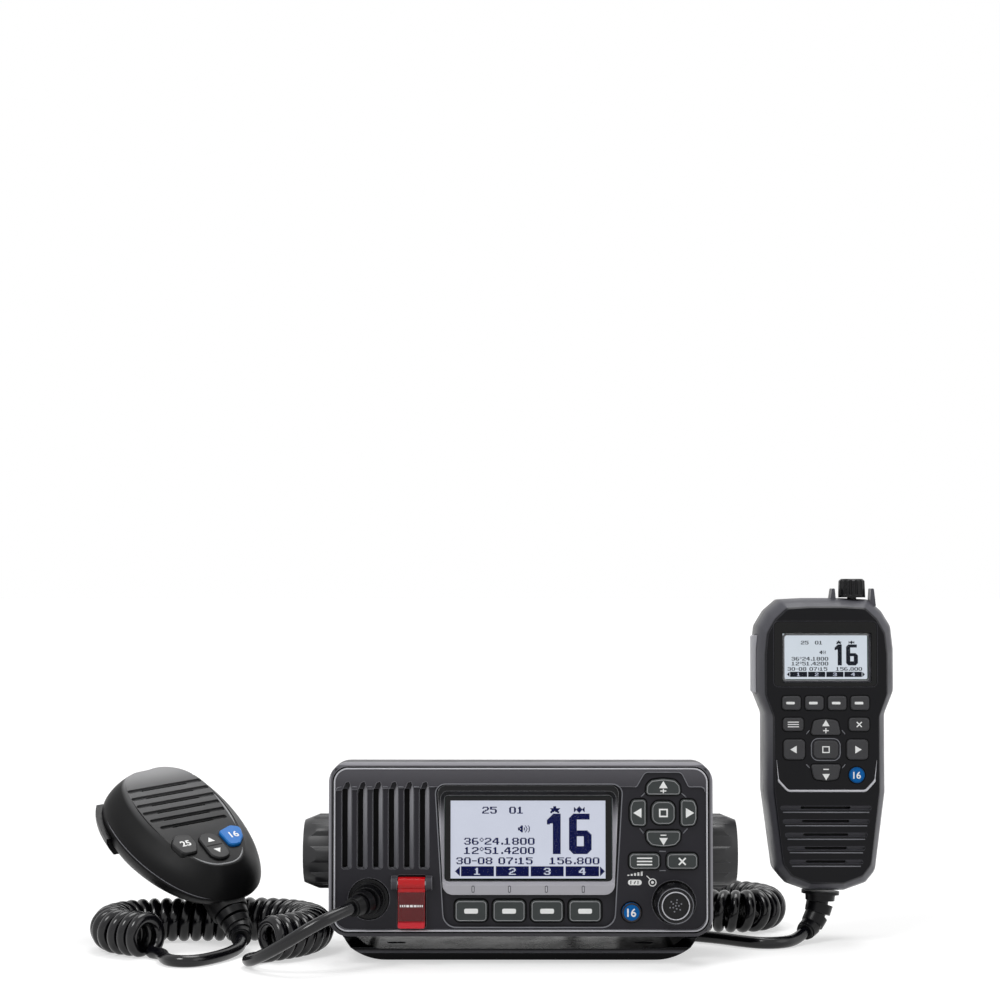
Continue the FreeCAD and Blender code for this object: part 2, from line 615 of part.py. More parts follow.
def make_volume_knob():
    """Tapered knob with shallow flutes, a raised ring and a dished front."""
    body = panel(ring(KNOB_U, KNOB_V, KNOB_R), -2.0, KNOB_BACK)
    nose = Part.makeCone(KNOB_R, KNOB_NOSE_R, -KNOB_FRONT - 2.0,
                         Vector(KNOB_U, FACE_Y - 2.0, FACE_Z + KNOB_V), Vector(0, -1, 0))
    body = eased(fused(body, nose), FACE_Y + KNOB_FRONT, 0.9)
    cuts = [panel(ring(KNOB_U, KNOB_V, SHAFT_R + FIT), KNOB_FRONT + 3.6, KNOB_BACK + 1),
            panel(ring(KNOB_U, KNOB_V, KNOB_DISH_R), KNOB_FRONT - 1, KNOB_FRONT + 0.8)]
    for i in range(KNOB_FLUTES):
        turn = 2 * math.pi * (i + 0.5) / KNOB_FLUTES
        u = KNOB_U + (KNOB_R + 1.3) * math.cos(turn)
        v = KNOB_V + (KNOB_R + 1.3) * math.sin(turn)
        cuts.append(panel(ring(u, v, 2.0), KNOB_FRONT - 1, -1.0))
    keep("volume_knob", body.cut(cuts))


def make_speaker():
    """Loudspeaker behind the grille: rim, basket and magnet."""
    y = FACE_Y + WALL_BACK + STOP_GAP
    z = FACE_Z + SPEAKER_V
    rim = through(SPEAKER_U, z, y, y + 2, SPEAKER_R)
    basket = Part.makeCone(SPEAKER_R - 0.8, MAGNET_R + 0.5, 6, Vector(SPEAKER_U, y + 1, z),
                           Vector(0, 1, 0))
    magnet = through(SPEAKER_U, z, y + 6, y + MAGNET_BACK, MAGNET_R)
    keep("speaker", fused(rim, basket, magnet))


def boot_solid(route, radius_start, radius_end, rings, collar=0.0):
    """Tapered strain relief: a core and separate rings that thin out along its route."""
    wire, _ = rounded_route(route)
    count = 2 * rings
    parts = [tube("boot core", route, radius_end)]
    length = wire.Length
    edges = wire.OrderedEdges
    for i in range(rings):
        a = (2 * i) / count * length
        b = a + length / count * 1.5
        share = i / max(rings - 1, 1)
        radius = radius_start + (radius_end + 0.7 - radius_start) * share
        start, way = along(edges, a)
        end, _ = along(edges, min(b, length))
        parts.append(Part.makeCone(radius, radius - 0.3, (end - start).Length, start, end - start))
    if collar:
        start, way = along(edges, 0)
        parts.append(Part.makeCylinder(collar, 1.4, start, way))
    return fused(*parts)


def along(edges, distance):
    """Point and direction at a distance along ordered edges."""
    for edge in edges:
        if distance <= edge.Length + 1e-9:
            here = edge.getParameterByLength(min(distance, edge.Length))
            return edge.valueAt(here), edge.tangentAt(here)
        distance -= edge.Length
    return edges[-1].valueAt(edges[-1].LastParameter), edges[-1].tangentAt(edges[-1].LastParameter)


def make_microphone_gland():
    """Ribbed boot in the recess at the lower left of the panel."""
    z = FACE_Z + GLAND_V
    route = [(GLAND_U, FACE_Y + 2.3, z), (GLAND_U - 0.5, FACE_Y - 6.5, z - 0.2), GLAND_BOOT_END]
    boot = boot_solid(route, 7.0, 3.6, 4, GLAND_RECESS - 0.4)
    tail = through(GLAND_U, z, FACE_Y + 2.0, FACE_Y + WALL_BACK + 1.5, 4.3)
    nut = through(GLAND_U, z, FACE_Y + WALL_BACK + STOP_GAP, FACE_Y + WALL_BACK + 3.5, 6.0)
    keep("microphone_cord_boot", fused(boot, tail, nut))


def make_chassis():
    """Die-cast case: hollow box, fins, corner posts, pivot bosses and board pillars."""
    y0 = FACE_Y + PANEL_DEPTH + SEAL_THICK
    width, height = 2 * CASE_HALF, CASE_TOP - CASE_LOW
    middle = (CASE_TOP + CASE_LOW) / 2
    body = slab(outline(rect(0, middle, width, height), CASE_CORNER), y0, CASE_BACK)
    inner = rect(0, middle, width - 2 * CASE_WALL, height - 2 * CASE_WALL)
    body = body.cut(slab(outline(inner, 1.5), y0 - 1, CASE_BACK - CASE_WALL))
    adds = []
    for i in range(FIN_COUNT):
        x = FIN_FIRST + i * FIN_PITCH
        adds.append(block(x, x + FIN_THICK, CASE_BACK - 1, CASE_BACK + FIN_REACH,
                          CASE_LOW + 4, CASE_TOP - 3))
    cuts = []
    for side in (-1, 1):
        wall = side * (CASE_HALF - 1)
        adds.append(across(wall, side * (BRACKET_HALF - BRACKET_ARM - RUN), PIVOT_Y, PIVOT_Z, BOSS_R))
        adds.append(across(side * (STUD_END - 4), wall, PIVOT_Y, PIVOT_Z, 7.0))
        cuts.append(across(side * (STUD_END - 1), side * (BRACKET_HALF + 1), PIVOT_Y, PIVOT_Z,
                           STUD_R + RUN))
    for x, z in SCREW_PLACES:
        adds.append(through(x, z, y0, CASE_BACK - 1, SCREW_INSET - 0.2))
        cuts.append(through(x, z, y0 - 1, CASE_BACK + 1, SCREW_R + 0.1))
        cuts.append(through(x, z, CASE_BACK - 1.0, CASE_BACK + FIN_REACH + 1, SCREW_HEAD_R + 0.3))
    half_x, half_y = MAIN_BOARD[0] / 2 - 5, MAIN_BOARD[1] / 2 - 5
    for x in (-half_x, half_x):
        for y in (MAIN_BOARD_Y - half_y, MAIN_BOARD_Y + half_y):
            adds.append(Part.makeCylinder(3.5, MAIN_BOARD_Z - CASE_LOW - 1, Vector(x, y, CASE_LOW + 1)))
    keep("rear_chassis", fused(body, *adds).cut(cuts))
    seal = slab(outline(rect(0, middle, width, height), CASE_CORNER), y0 - SEAL_THICK, y0)
    seal = seal.cut(slab(outline(rect(0, middle, width - 5, height - 5), 2), y0 - 2, y0 + 1))
    seal = seal.cut([through(x, z, y0 - 2, y0 + 1, SCREW_R + FIT) for x, z in SCREW_PLACES])
    keep("case_seal", seal)


def make_case_screws():
    """Four long screws from the back of the case into the front panel."""
    screws = []
    for x, z in SCREW_PLACES:
        shank = through(x, z, FACE_Y + WALL_BACK + 3, CASE_BACK, SCREW_R)
        head = through(x, z, CASE_BACK - 1.0, CASE_BACK - 1.0 + SCREW_HEAD, SCREW_HEAD_R)
        cross = block(x - 0.4, x + 0.4, CASE_BACK + 0.2, CASE_BACK + 2, z - 1.8, z + 1.8)
        bar = block(x - 1.8, x + 1.8, CASE_BACK + 0.2, CASE_BACK + 2, z - 0.4, z + 0.4)
        screws.append(fused(shank, head).cut([cross, bar]))
    keep("case_screws", *screws)


def make_main_board():
    """Transceiver board on its pillars, with its power module and shield cans."""
    length, depth = MAIN_BOARD
    z = MAIN_BOARD_Z
    top = z + BOARD_THICK
    board = block(-length / 2, length / 2, MAIN_BOARD_Y - depth / 2, MAIN_BOARD_Y + depth / 2, z, top)
    cans = [block(left, right, front, back, top, top + height)
            for left, right, front, back, height in BOARD_CANS]
    keep("main_board", board, *cans)


def make_rear_sockets():
    """Antenna socket, handset cord gland, supply gland and accessory jack."""
    y = CASE_BACK
    socket = through(ANTENNA_X, ANTENNA_Z, y + 2.5, y + 19, ANTENNA_R)
    base = slab(outline(rect(ANTENNA_X, ANTENNA_Z, 25, 25), 2), y, y + 2.5)
    hole = through(ANTENNA_X, ANTENNA_Z, y + 7, y + 20, 5.8)
    antenna = fused(base, socket).cut(hole)
    antenna = fused(antenna, through(ANTENNA_X, ANTENNA_Z, y + 6.9, y + 15, 1.9))
    gland = through(REAR_GLAND_X, REAR_GLAND_Z, y, y + 3.5, 8.0)
    gland = fused(gland, Part.makeCone(6.0, 3.8, 8.5, Vector(REAR_GLAND_X, y + 3.4, REAR_GLAND_Z),
                                       Vector(0, 1, 0)))
    supply = through(ANTENNA_X, SUPPLY_Z, y, y + 4, 7.0)
    supply = supply.cut(through(ANTENNA_X, SUPPLY_Z, y + 1.5, y + 6, 3.4))
    jack = through(JACK_X, JACK_Z, y, y + 3, 4.5).cut(through(JACK_X, JACK_Z, y + 1, y + 6, 1.9))
    keep("rear_sockets", antenna, gland, supply, jack)


# ---------------------------------------------------------------- hand microphone
def mic_place():
    """Where the microphone lies: leaning back on its coiled cord."""
    turn = Rotation(Vector(0, 0, 1), MIC_TURN)
    lean = Rotation(Vector(1, 0, 0), MIC_LEAN)
    roll = Rotation(Vector(0, 1, 0), MIC_ROLL)
    return Placement(MIC_AT, turn.multiply(lean).multiply(roll))


def placed(solid, place):
    """A copy moved from its own frame to where it belongs."""
    moved = solid.copy()
    moved.Placement = place.multiply(moved.Placement)
    return moved


def egg(z, half_width, low, high, inset=0.0):
    """Egg-shaped section, squarer at the top, at height z in the microphone's frame."""
    half_width -= inset
    low, high = low + inset, high - inset
    middle, half = (low + high) / 2, (high - low) / 2
    points = []
    count = 24
    for i in range(count):
        turn = 2 * math.pi * i / count
        up, side = math.cos(turn), math.sin(turn)
        wide = abs(side) ** (0.6 if up > 0 else 0.75) * (1 + 0.12 * up) / 1.02
        points.append(Vector(math.copysign(wide, side) * half_width, middle + up * half, z))
    curve = Part.BSplineCurve()
    curve.interpolate(points, PeriodicFlag=True)
    return Part.Wire(curve.toShape())


# height, half width, lowest and highest y of each section of the microphone
MIC_FRONT_SECTIONS = [(MIC_SPLIT + MIC_SEAM / 2, 30.3, -54.0, 30.5), (-8.5, 27.6, -51.5, 29.8),
                      (-4.5, 23.2, -48.0, 28.4), (MIC_FACE, 20.4, -45.0, 26.8)]
MIC_BACK_SECTIONS = [(MIC_SPLIT - MIC_SEAM / 2, 30.3, -54.0, 30.5), (-18.0, 29.7, -50.0, 30.2),
                     (-23.0, 26.4, -40.5, 28.5), (-28.0, 22.5, -29.0, 26.0),
                     (-32.5, 16.0, -16.0, 20.0)]


def mic_shell(sections):
    """A hollow shell lofted through the sections."""
    outer = Part.makeLoft([egg(*s) for s in sections], True, False)
    inner = [egg(z, w, a, b, MIC_WALL) for z, w, a, b in sections[:-1]]
    z, w, a, b = sections[-1]
    step = -MIC_WALL if z > MIC_SPLIT else MIC_WALL
    inner.append(egg(z + step, w, a, b, MIC_WALL))
    return outer.cut(Part.makeLoft(inner, True, False))


def mic_slab(wire, front, back):
    """Extrude an outline drawn in x and y of the microphone between two heights."""
    solid = slab(wire, -front, -back)
    solid.rotate(Vector(0, 0, 0), Vector(1, 0, 0), -90)
    return solid


def mic_key_outlines():
    """Name and outline of the keys below the microphone's grille."""
    power = [(-16.0, -34.2), (-9.4, -34.0), (-7.0, -29.0), (-7.4, -22.2), (-14.2, -21.4), (-18.0, -26.2)]
    channel = [(7.0, -34.0), (11.8, -34.2), (15.8, -29.6), (17.8, -23.4), (13.6, -21.2), (6.4, -23.8)]
    return [("hand_mic_power_key", outline(power, [2.6, 2.4, 2.4, 2.0, 3.0, 2.6])),
            ("hand_mic_rocker", outline(rect(*MIC_ROCKER), 4.65)),
            ("hand_mic_channel_key", outline(channel, [2.2, 2.4, 3.0, 2.2, 2.4, 2.2]))]


def mic_fulcrum():
    """Round bar across the rocker, on the axis that it tips about."""
    x, y, width, _ = MIC_ROCKER
    bar = width - 0.4
    return Part.makeCylinder(MIC_FULCRUM_R, bar, Vector(x - bar / 2, y, MIC_FULCRUM_Z), Vector(1, 0, 0))


def mic_talk_key():
    """Side key that follows the shell, with two grooves along it."""
    right, low, high = MIC_TALK
    body, core = [Part.makeLoft([egg(z, w, a, b, -reach) for z, w, a, b in MIC_BACK_SECTIONS], True, False)
                  for reach in (MIC_TALK_REACH, MIC_TALK_REACH - 1.1)]
    body = body.common(block(-40, right, low, high, MIC_TALK_BACK, MIC_TALK_TOP))
    for z in (-18.4, -21.6):
        body = body.cut(block(-40, right, low - 1, high + 1, z - 0.4, z + 0.4).cut(core))
    return body


def make_hand_mic():
    """Front and back shells, speaker, board, keys and boot of the hand microphone."""
    place = mic_place()
    front = mic_shell(MIC_FRONT_SECTIONS)
    cuts = []
    for i, width in enumerate(MIC_SLOTS):
        y = MIC_SLOT_FIRST - i * MIC_SLOT_STEP
        cuts.append(mic_slab(outline(rect(0, y, width, 2.4), 1.15), 2, MIC_FACE - 1.0))
        cuts.append(mic_slab(outline(rect(0, y, width * 0.62, 1.3), 0.6), 2, MIC_FACE - 4))
    for name, wire in mic_key_outlines():
        cuts.append(mic_slab(grown(wire, FIT), 2, MIC_FACE - 5))
        cuts.append(mic_slab(grown(wire, FLANGE + FIT), MIC_KEY_STOP + MIC_ROCK, MIC_FACE - 6))
    cuts.append(mic_slab(outline(rect(17.5, 18.5, 2.6, 1.4), 0.65), 2, MIC_FACE - 6))
    keep("hand_mic_front", placed(front.cut(cuts), place))

    back = mic_shell(MIC_BACK_SECTIONS)
    neck = Part.makeCone(9.4, 8.0, 15.4, MIC_NECK, MIC_NECK_WAY)
    neck = neck.cut(block(-40, 40, -80, 40, MIC_SPLIT - MIC_SEAM / 2, 10))
    bore = Part.makeCone(7.4, 5.6, 17.5, MIC_NECK + Vector(0, 1.5, 0.4), MIC_NECK_WAY)
    stalk = Part.makeCylinder(4.0, 6.0, Vector(0, MIC_CLIP_Y, -37.0))
    stud = Part.makeCylinder(8.0, 2.2, Vector(0, MIC_CLIP_Y, -38.0))
    back = fused(back, neck, stalk, stud).cut(bore)
    right, low, high = MIC_TALK
    pocket = block(-40, right + KEY_TRAVEL + RUN, low - RUN, high + RUN,
                   MIC_TALK_BACK - RUN, MIC_TALK_TOP + RUN)
    keep("hand_mic_back", placed(back.cut(pocket), place))
    keep("hand_mic_talk_key", placed(mic_talk_key(), place))

    for name, wire in mic_key_outlines():
        cap = mic_slab(wire, MIC_KEY_TOP, MIC_KEY_STOP)
        top = [e for e in cap.Edges if all(abs(v.Z - MIC_KEY_TOP) < 1e-4 for v in e.Vertexes)]
        cap = cap.makeChamfer(0.5, top)
        solid = fused(cap, mic_slab(grown(wire, FLANGE), MIC_KEY_STOP, MIC_KEY_STOP - FLANGE_THICK))
        if name == "hand_mic_rocker":
            solid = fused(solid, mic_fulcrum())
        keep(name, placed(solid, place))

    board_top = MIC_KEY_STOP - FLANGE_THICK - KEY_TRAVEL - STOP_GAP
    board = mic_slab(outline(rect(0, -27.5, 26, 16), 3), board_top, board_top - BOARD_THICK)
    keep("hand_mic_board", placed(board, place))
    rim = Part.makeCylinder(14.0, 2.0, Vector(0, 3.0, MIC_FACE - MIC_WALL - STOP_GAP - 2.0))
    magnet = Part.makeCylinder(7.0, 6.0, Vector(0, 3.0, MIC_FACE - MIC_WALL - STOP_GAP - 7.9))
    keep("hand_mic_speaker", placed(fused(rim, magnet), place))

    route = [tuple(place.multVec(MIC_BOOT_ROOT)), MIC_BOOT_KNEE, MIC_BOOT_END]
    keep("hand_mic_boot", boot_solid(route, 7.2, 3.9, 4))


# ---------------------------------------------------------------- handset
def set_outline(inset, y):
    """Waisted outline of the handset at depth y."""
    half = [(8.0, SET_LOW), (17.6, SET_LOW + 3.4), (21.8, SET_LOW + 8.6), (26.2, 65.0), (26.2, 99.0),
            (SET_HALF, 109.0), (SET_HALF, 127.0), (29.1, 137.0), (25.1, 143.6), (19.4, SET_TOP - 0.6),
            (8.0, SET_TOP)]
    middle = (SET_LOW + SET_TOP) / 2
    sx = 1 - inset / SET_HALF
    sz = 1 - 2 * inset / (SET_TOP - SET_LOW)
    right = [(x * sx, middle + (z - middle) * sz) for x, z in half]
    points = right + [(-x, z) for x, z in reversed(right)]
    wire = outline(points, [2.5, 3, 6, 10, 6, 5, 8, 5, 4, 3, 3] + [3, 3, 4, 5, 8, 5, 6, 10, 6, 3, 2.5],
                   (SET_X, 0))
    wire.translate(Vector(0, y, 0))
    return wire


def set_slab(wire, front, back):
    """Extrude an outline given from the handset's middle, between two depths of its face."""
    solid = slab(wire, SET_Y + front, SET_Y + back)
    solid.translate(Vector(SET_X + SET_U, 0, 0))
    return solid


def set_function_outlines():
    """The four soft keys, menu and clear."""
    keys = [outline(rect(-14.7 + i * 9.85, SET_KEYS_V + 20.0, 8.0, 6.0), 1.4) for i in range(4)]
    keys.append(outline(rect(-14.0, SET_KEYS_V + 10.8, 8.9, 5.7), 1.6))
    keys.append(outline(rect(14.4, SET_KEYS_V + 10.8, 8.9, 5.7), 1.6))
    return keys


def set_arrow_outlines():
    """The four arrow keys."""
    up = [(-6.6, -3.4), (6.6, -3.4), (5.2, 2.9), (0, 3.7), (-5.2, 2.9)]
    down = [(-5.2, -2.9), (0, -3.7), (5.2, -2.9), (6.6, 3.4), (-6.6, 3.4)]
    return [outline(up, [1.2, 1.2, 2, 12, 2], (0, SET_KEYS_V + 9.6)),
            outline(down, [2, 12, 2, 1.2, 1.2], (0, SET_KEYS_V - 9.8)),
            outline(rect(-13.6, SET_KEYS_V, 9.2, 8.6), 1.8),
            outline(rect(13.6, SET_KEYS_V, 9.2, 8.6), 1.8)]


def set_keys():
    """Name and outlines of each group of keys on the handset."""
    return [("handset_function_keys", set_function_outlines()),
            ("handset_arrow_keys", set_arrow_outlines()),
            ("handset_enter_key", [outline(rect(0, SET_KEYS_V, 10.8, 7.8), 2.2)]),
            ("handset_channel_key", [ring(13.3, SET_KEYS_V - 11.0, 3.4)])]


def knob_guard(x, side, root):
    """Fin beside the knob that keeps it from being turned by accident."""
    corners = [(SET_GUARD, -root), (SET_GUARD + 2.6, -root), (SET_GUARD + 1.7, 4.2), (SET_GUARD + 0.5, 4.2)]
    if side < 0:
        corners = [(-a, b) for a, b in reversed(corners)]
    return slab(outline(corners, [0.1, 0.1, 0.5, 0.5] if side > 0 else [0.5, 0.5, 0.1, 0.1],
                        (x, SET_TOP)), SET_KNOB_Y - 4, SET_KNOB_Y + 4)


def make_handset():
    """Front and back shells, display, keys, knob and boot of the handset."""
    front = Part.makeLoft([set_outline(4.2, SET_Y), set_outline(1.4, SET_Y + 4),
                           set_outline(0, SET_Y + 9), set_outline(0, SET_SPLIT)], True, True)
    wall = SET_WALL
    hollow = Part.makeLoft([set_outline(4.2 + wall, SET_Y + 3.0), set_outline(wall, SET_Y + 9),
                            set_outline(wall, SET_SPLIT + 1)], True, True)
    cuts = [hollow, set_slab(outline(span(*SET_WINDOW), 2.0), -1, 1.6),
            set_slab(outline(span(-19.0, 19.0, 113.5, 134.5), 1.0), 0, 4)]
    for name, wires in set_keys():
        cuts += [set_slab(grown(wire, FIT), -1, 4) for wire in wires]
    for i in range(5):
        z = SET_SLOT_FIRST - SET_SLOT_STEP * i
        width = 39.0 - 1.9 * i
        cuts.append(set_slab(outline(rect(0, z, width, 1.5), 0.7), -1, 1.4))
        cuts.append(set_slab(outline(rect(0, z, width * 0.55, 1.1), 0.5), -1, 4))
    talk_x = SET_X - SET_HALF
    cuts.append(block(talk_x - 2, talk_x + 3.4, SET_Y + 7.4, SET_SPLIT - 1.6, *SET_TALK))
    knob_x = SET_X + SET_KNOB_X
    cuts.append(Part.makeCylinder(SHAFT_R + FIT, 12, Vector(knob_x, SET_KNOB_Y, SET_TOP - 8)))
    guards = [knob_guard(knob_x, -1, 1.6), knob_guard(knob_x, 1, 3.4)]
    keep("handset_front", fused(front.cut(cuts), *guards))

    back = Part.makeLoft([set_outline(0, SET_SPLIT + 0.2), set_outline(0, SET_SPLIT + 8),
                          set_outline(2.2, SET_BACK - 4), set_outline(6.5, SET_BACK)], True, True)
    hollow = Part.makeLoft([set_outline(wall, SET_SPLIT - 1), set_outline(wall, SET_SPLIT + 8),
                            set_outline(6.5 + wall, SET_BACK - wall)], True, True)
    keep("handset_back", back.cut(hollow))

    glass = span(SET_WINDOW[0] + FIT, SET_WINDOW[1] - FIT, SET_WINDOW[2] + FIT, SET_WINDOW[3] - FIT)
    keep("handset_window", set_slab(outline(glass, 1.8), 0.2, 1.6))
    keep("handset_lcd", set_slab(outline(span(-18.4, 18.4, 114.2, 133.8), 0.6), 1.8, 4.4))

    stop = SET_WALL_BACK + STOP_GAP
    for name, wires in set_keys():
        solids = []
        for wire in wires:
            cap = eased(set_slab(wire, SET_KEY_FRONT, stop), SET_Y + SET_KEY_FRONT, 0.4)
            solids.append(fused(cap, set_slab(grown(wire, 0.45), stop, stop + FLANGE_THICK)))
        keep(name, *solids)
    board_y = stop + FLANGE_THICK + KEY_TRAVEL + STOP_GAP
    board = outline(span(-21, 21, 68, 138), 3)
    keep("handset_board", set_slab(board, board_y, board_y + BOARD_THICK))
    rim = through(SET_X + SET_U, SET_SPEAKER_Z, SET_Y + stop, SET_Y + stop + 2, 15)
    magnet = through(SET_X + SET_U, SET_SPEAKER_Z, SET_Y + stop + 1.9, SET_Y + stop + 7.9, 8)
    keep("handset_speaker", fused(rim, magnet))
    talk = block(talk_x - 1.4, talk_x + 2.2, SET_Y + 7.4 + RUN, SET_SPLIT - 1.6 - RUN,
                 SET_TALK[0] + RUN, SET_TALK[1] - RUN)
    uprights = [e for e in talk.Edges if e.BoundBox.XLength < 1e-6 and e.BoundBox.XMax < talk_x]
    keep("handset_talk_key", talk.makeFillet(1.2, uprights))
    knob = Part.makeCone(SET_KNOB_R, SET_KNOB_R - 0.3, 8.1, Vector(knob_x, SET_KNOB_Y, SET_TOP + RUN))
    rim = [e for e in knob.Edges if all(abs(v.Z - SET_TOP - RUN - 8.1) < 1e-4 for v in e.Vertexes)]
    knob = knob.makeChamfer(0.9, rim)
    notches = []
    for i in range(SET_KNOB_FLUTES):
        turn = 2 * math.pi * i / SET_KNOB_FLUTES
        notches.append(Part.makeCylinder(0.8, 9, Vector(knob_x + SET_KNOB_R * math.cos(turn),
                                                        SET_KNOB_Y + SET_KNOB_R * math.sin(turn),
                                                        SET_TOP + 1.4)))
    shaft = Part.makeCylinder(SHAFT_R, 8, Vector(knob_x, SET_KNOB_Y, SET_TOP - 7))
    keep("handset_knob", fused(knob.cut(notches), shaft))

    route = [(SET_X - 1.4, 33, SET_LOW - 0.7), (SET_X - 1.8, 32.8, SET_LOW - 8),
             SET_BOOT_KNEE, SET_BOOT_END]
    keep("handset_boot", boot_solid(route, 6.6, 3.7, 4, 8.2))


# ---------------------------------------------------------------- cords
GLAND_BOOT_END = (GLAND_U - 6.2, FACE_Y - 13.5, FACE_Z + GLAND_V - 1.7)
MIC_BOOT_KNEE = (-118.8, 7.7, 7.7)
MIC_BOOT_END = (-117.8, 1.0, 5.6)
SET_BOOT_KNEE = (127.2, 30.9, 7.6)
SET_BOOT_END = (123.0, 25.5, 5.0)
FLOOR = CORD_R + 0.05  # height of a cord that lies on the surface
LAID = COIL_R          # height of the axis of a coil that lies on it

MIC_LEAD = [GLAND_BOOT_END, (-73.7, -55.5, 23.9), (-83.5, -59.5, 19.2), (-94.0, -58.0, 12.6),
            (-103.5, -51.5, 6.8), (-110.0, -42.5, 3.4), (-111.0, -32.5, 2.7), (-104.4, -24.4, 2.7)]
MIC_COIL = [(-104.0, -24.0, LAID), (-95.0, -15.0, LAID), (-88.0, -2.0, LAID), (-88.5, 14.0, LAID),
            (-97.5, 27.0, LAID), (-112.0, 33.5, LAID), (-127.0, 32.9, LAID), (-142.0, 31.5, LAID),
            (-157.0, 31.4, LAID), (-169.5, 24.5, LAID), (-174.5, 11.5, LAID), (-171.0, -1.5, LAID),
            (-162.5, -8.5, LAID), (-154.0, -14.0, LAID)]
MIC_TAIL = [(-153.7, -14.3, 2.6), (-147.5, -19.2, FLOOR), (-146.0, -29.5, FLOOR), (-141.0, -37.5, FLOOR),
            (-132.5, -38.0, FLOOR), (-126.0, -29.5, FLOOR), (-120.8, -18.0, FLOOR),
            (-116.8, -5.7, 3.5), MIC_BOOT_END]
SET_LEAD = [SET_BOOT_END, (119.22, 20.64, 2.66), (112.5, 12.0, FLOOR), (103.5, 10.0, FLOOR),
            (95.0, 15.5, FLOOR), (86.0, 24.5, FLOOR), (74.0, 32.0, FLOOR), (62.0, 40.5, FLOOR),
            (55.0, 52.5, FLOOR), (59.5, 65.0, FLOOR), (71.5, 66.2, FLOOR), (83.7, 60.2, 2.6)]
SET_COIL = [(84.0, 60.0, LAID), (95.0, 56.0, LAID), (107.0, 60.0, LAID), (113.0, 73.0, LAID),
            (107.5, 87.0, LAID), (94.0, 94.5, LAID), (78.0, 95.5, LAID), (62.0, 94.0, LAID),
            (46.0, 95.5, LAID)]
SET_TAIL = [(45.7, 95.5, 2.6), (35.5, 96.4, 2.6), (27.0, 98.0, 8.6), (22.6, 96.5, 18.5),
            (REAR_GLAND_X, CASE_BACK + 23.5, REAR_GLAND_Z - 0.4),
            (REAR_GLAND_X, CASE_BACK + 12.0, REAR_GLAND_Z)]


def make_cords():
    """Plain solids of the two curly cords and their straight ends."""
    keep("hand_mic_cord_lead", tube("hand_mic_cord_lead", MIC_LEAD, CORD_R))
    keep("hand_mic_cord_coil", tube("hand_mic_cord_coil", MIC_COIL, COIL_R))
    keep("hand_mic_cord_tail", tube("hand_mic_cord_tail", MIC_TAIL, CORD_R))
    keep("handset_cord_lead", tube("handset_cord_lead", SET_LEAD, CORD_R))
    keep("handset_cord_coil", tube("handset_cord_coil", SET_COIL, COIL_R))
    keep("handset_cord_tail", tube("handset_cord_tail", SET_TAIL, CORD_R))


make_bracket()
make_clamp_knobs()
make_chassis()
make_case_screws()
make_front_panel()
make_keys()
make_distress_cover()
make_display()
make_control_board()
make_volume_knob()
make_speaker()
make_microphone_gland()
make_main_board()
make_rear_sockets()
make_hand_mic()
make_handset()
make_cords()

os.makedirs("parts", exist_ok=True)
for node, shape in NODES.items():
    if not shape.isValid():
        print("not valid: " + node)
    shape.exportStep("parts/%s.step" % node)
print("%d nodes" % len(NODES))
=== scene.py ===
"""A marine radio in its gimbal bracket, with a hand microphone and a remote handset."""
import logging
import math
from dataclasses import dataclass
from enum import Enum
from typing import Iterable, Optional, Sequence

import bmesh
import bpy
from mathutils import Matrix, Vector


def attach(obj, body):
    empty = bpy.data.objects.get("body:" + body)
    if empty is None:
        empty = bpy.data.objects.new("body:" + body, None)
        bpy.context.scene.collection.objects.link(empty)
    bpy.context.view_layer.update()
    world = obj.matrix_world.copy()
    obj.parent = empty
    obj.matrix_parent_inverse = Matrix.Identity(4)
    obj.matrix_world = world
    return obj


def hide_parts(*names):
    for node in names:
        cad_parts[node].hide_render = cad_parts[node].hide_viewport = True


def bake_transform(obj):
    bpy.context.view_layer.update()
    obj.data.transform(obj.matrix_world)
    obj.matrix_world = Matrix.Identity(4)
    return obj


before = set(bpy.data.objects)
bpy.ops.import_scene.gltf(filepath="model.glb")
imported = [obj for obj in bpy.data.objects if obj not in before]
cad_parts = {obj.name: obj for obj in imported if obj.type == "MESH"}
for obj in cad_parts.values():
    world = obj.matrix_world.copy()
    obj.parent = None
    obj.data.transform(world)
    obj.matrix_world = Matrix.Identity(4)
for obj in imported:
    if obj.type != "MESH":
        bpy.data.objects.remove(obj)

log = logging.getLogger("marine_radio")

MM = 0.001
FACE_Y = -35.0          # front plane of the radio's face, in millimetres
FACE_Z = 47.2           # height of its middle
SET_X = 131.9           # middle line of the handset's face
SET_Y = 20.0            # its front plane
PRINT = 0.06            # thickness of printed marks and figures, in millimetres
WELD = 0.000002         # points closer than this, in metres, are one
GRAIN_SCALE = 2600.0    # cells of moulded grain in a metre
GRAIN_DEPTH = 0.00004   # depth of the grain, in metres
SOFT_EDGE = 0.00025     # rounding that shading gives to edges, in metres
DIGIT_SIZE = 1.42       # size of the font for digits of height one
DIGIT_BOLD = 0.028      # how far their outline is moved out, as a share of the height
UNLIT = ((0.03, 0.03, 0.035, 1), (0.05, 0.05, 0.055, 1))  # dark base of a glowing display; the glow over it is painted light
Point2 = tuple[float, float]
Point3 = tuple[float, float, float]
Box = tuple[float, float, float, float]


# ------------------------------------------------------------------ finishes
Colour = tuple[int, int, int]


class Surface(Enum):
    """The kinds of surface a finish can have."""

    MOULDED = "moulded"
    RUBBER = "rubber"
    PAINTED = "painted"
    METAL = "metal"
    CLEAR = "clear"
    JACKET = "jacket"
    SCREEN = "screen"
    PRINT = "print"


@dataclass(frozen=True)
class Layer:
    """A change of colour along one axis, between two places in millimetres."""

    axis: str
    start: float
    end: float
    colour: Colour
    share: float = 1.0
    inside: Optional[Box] = None


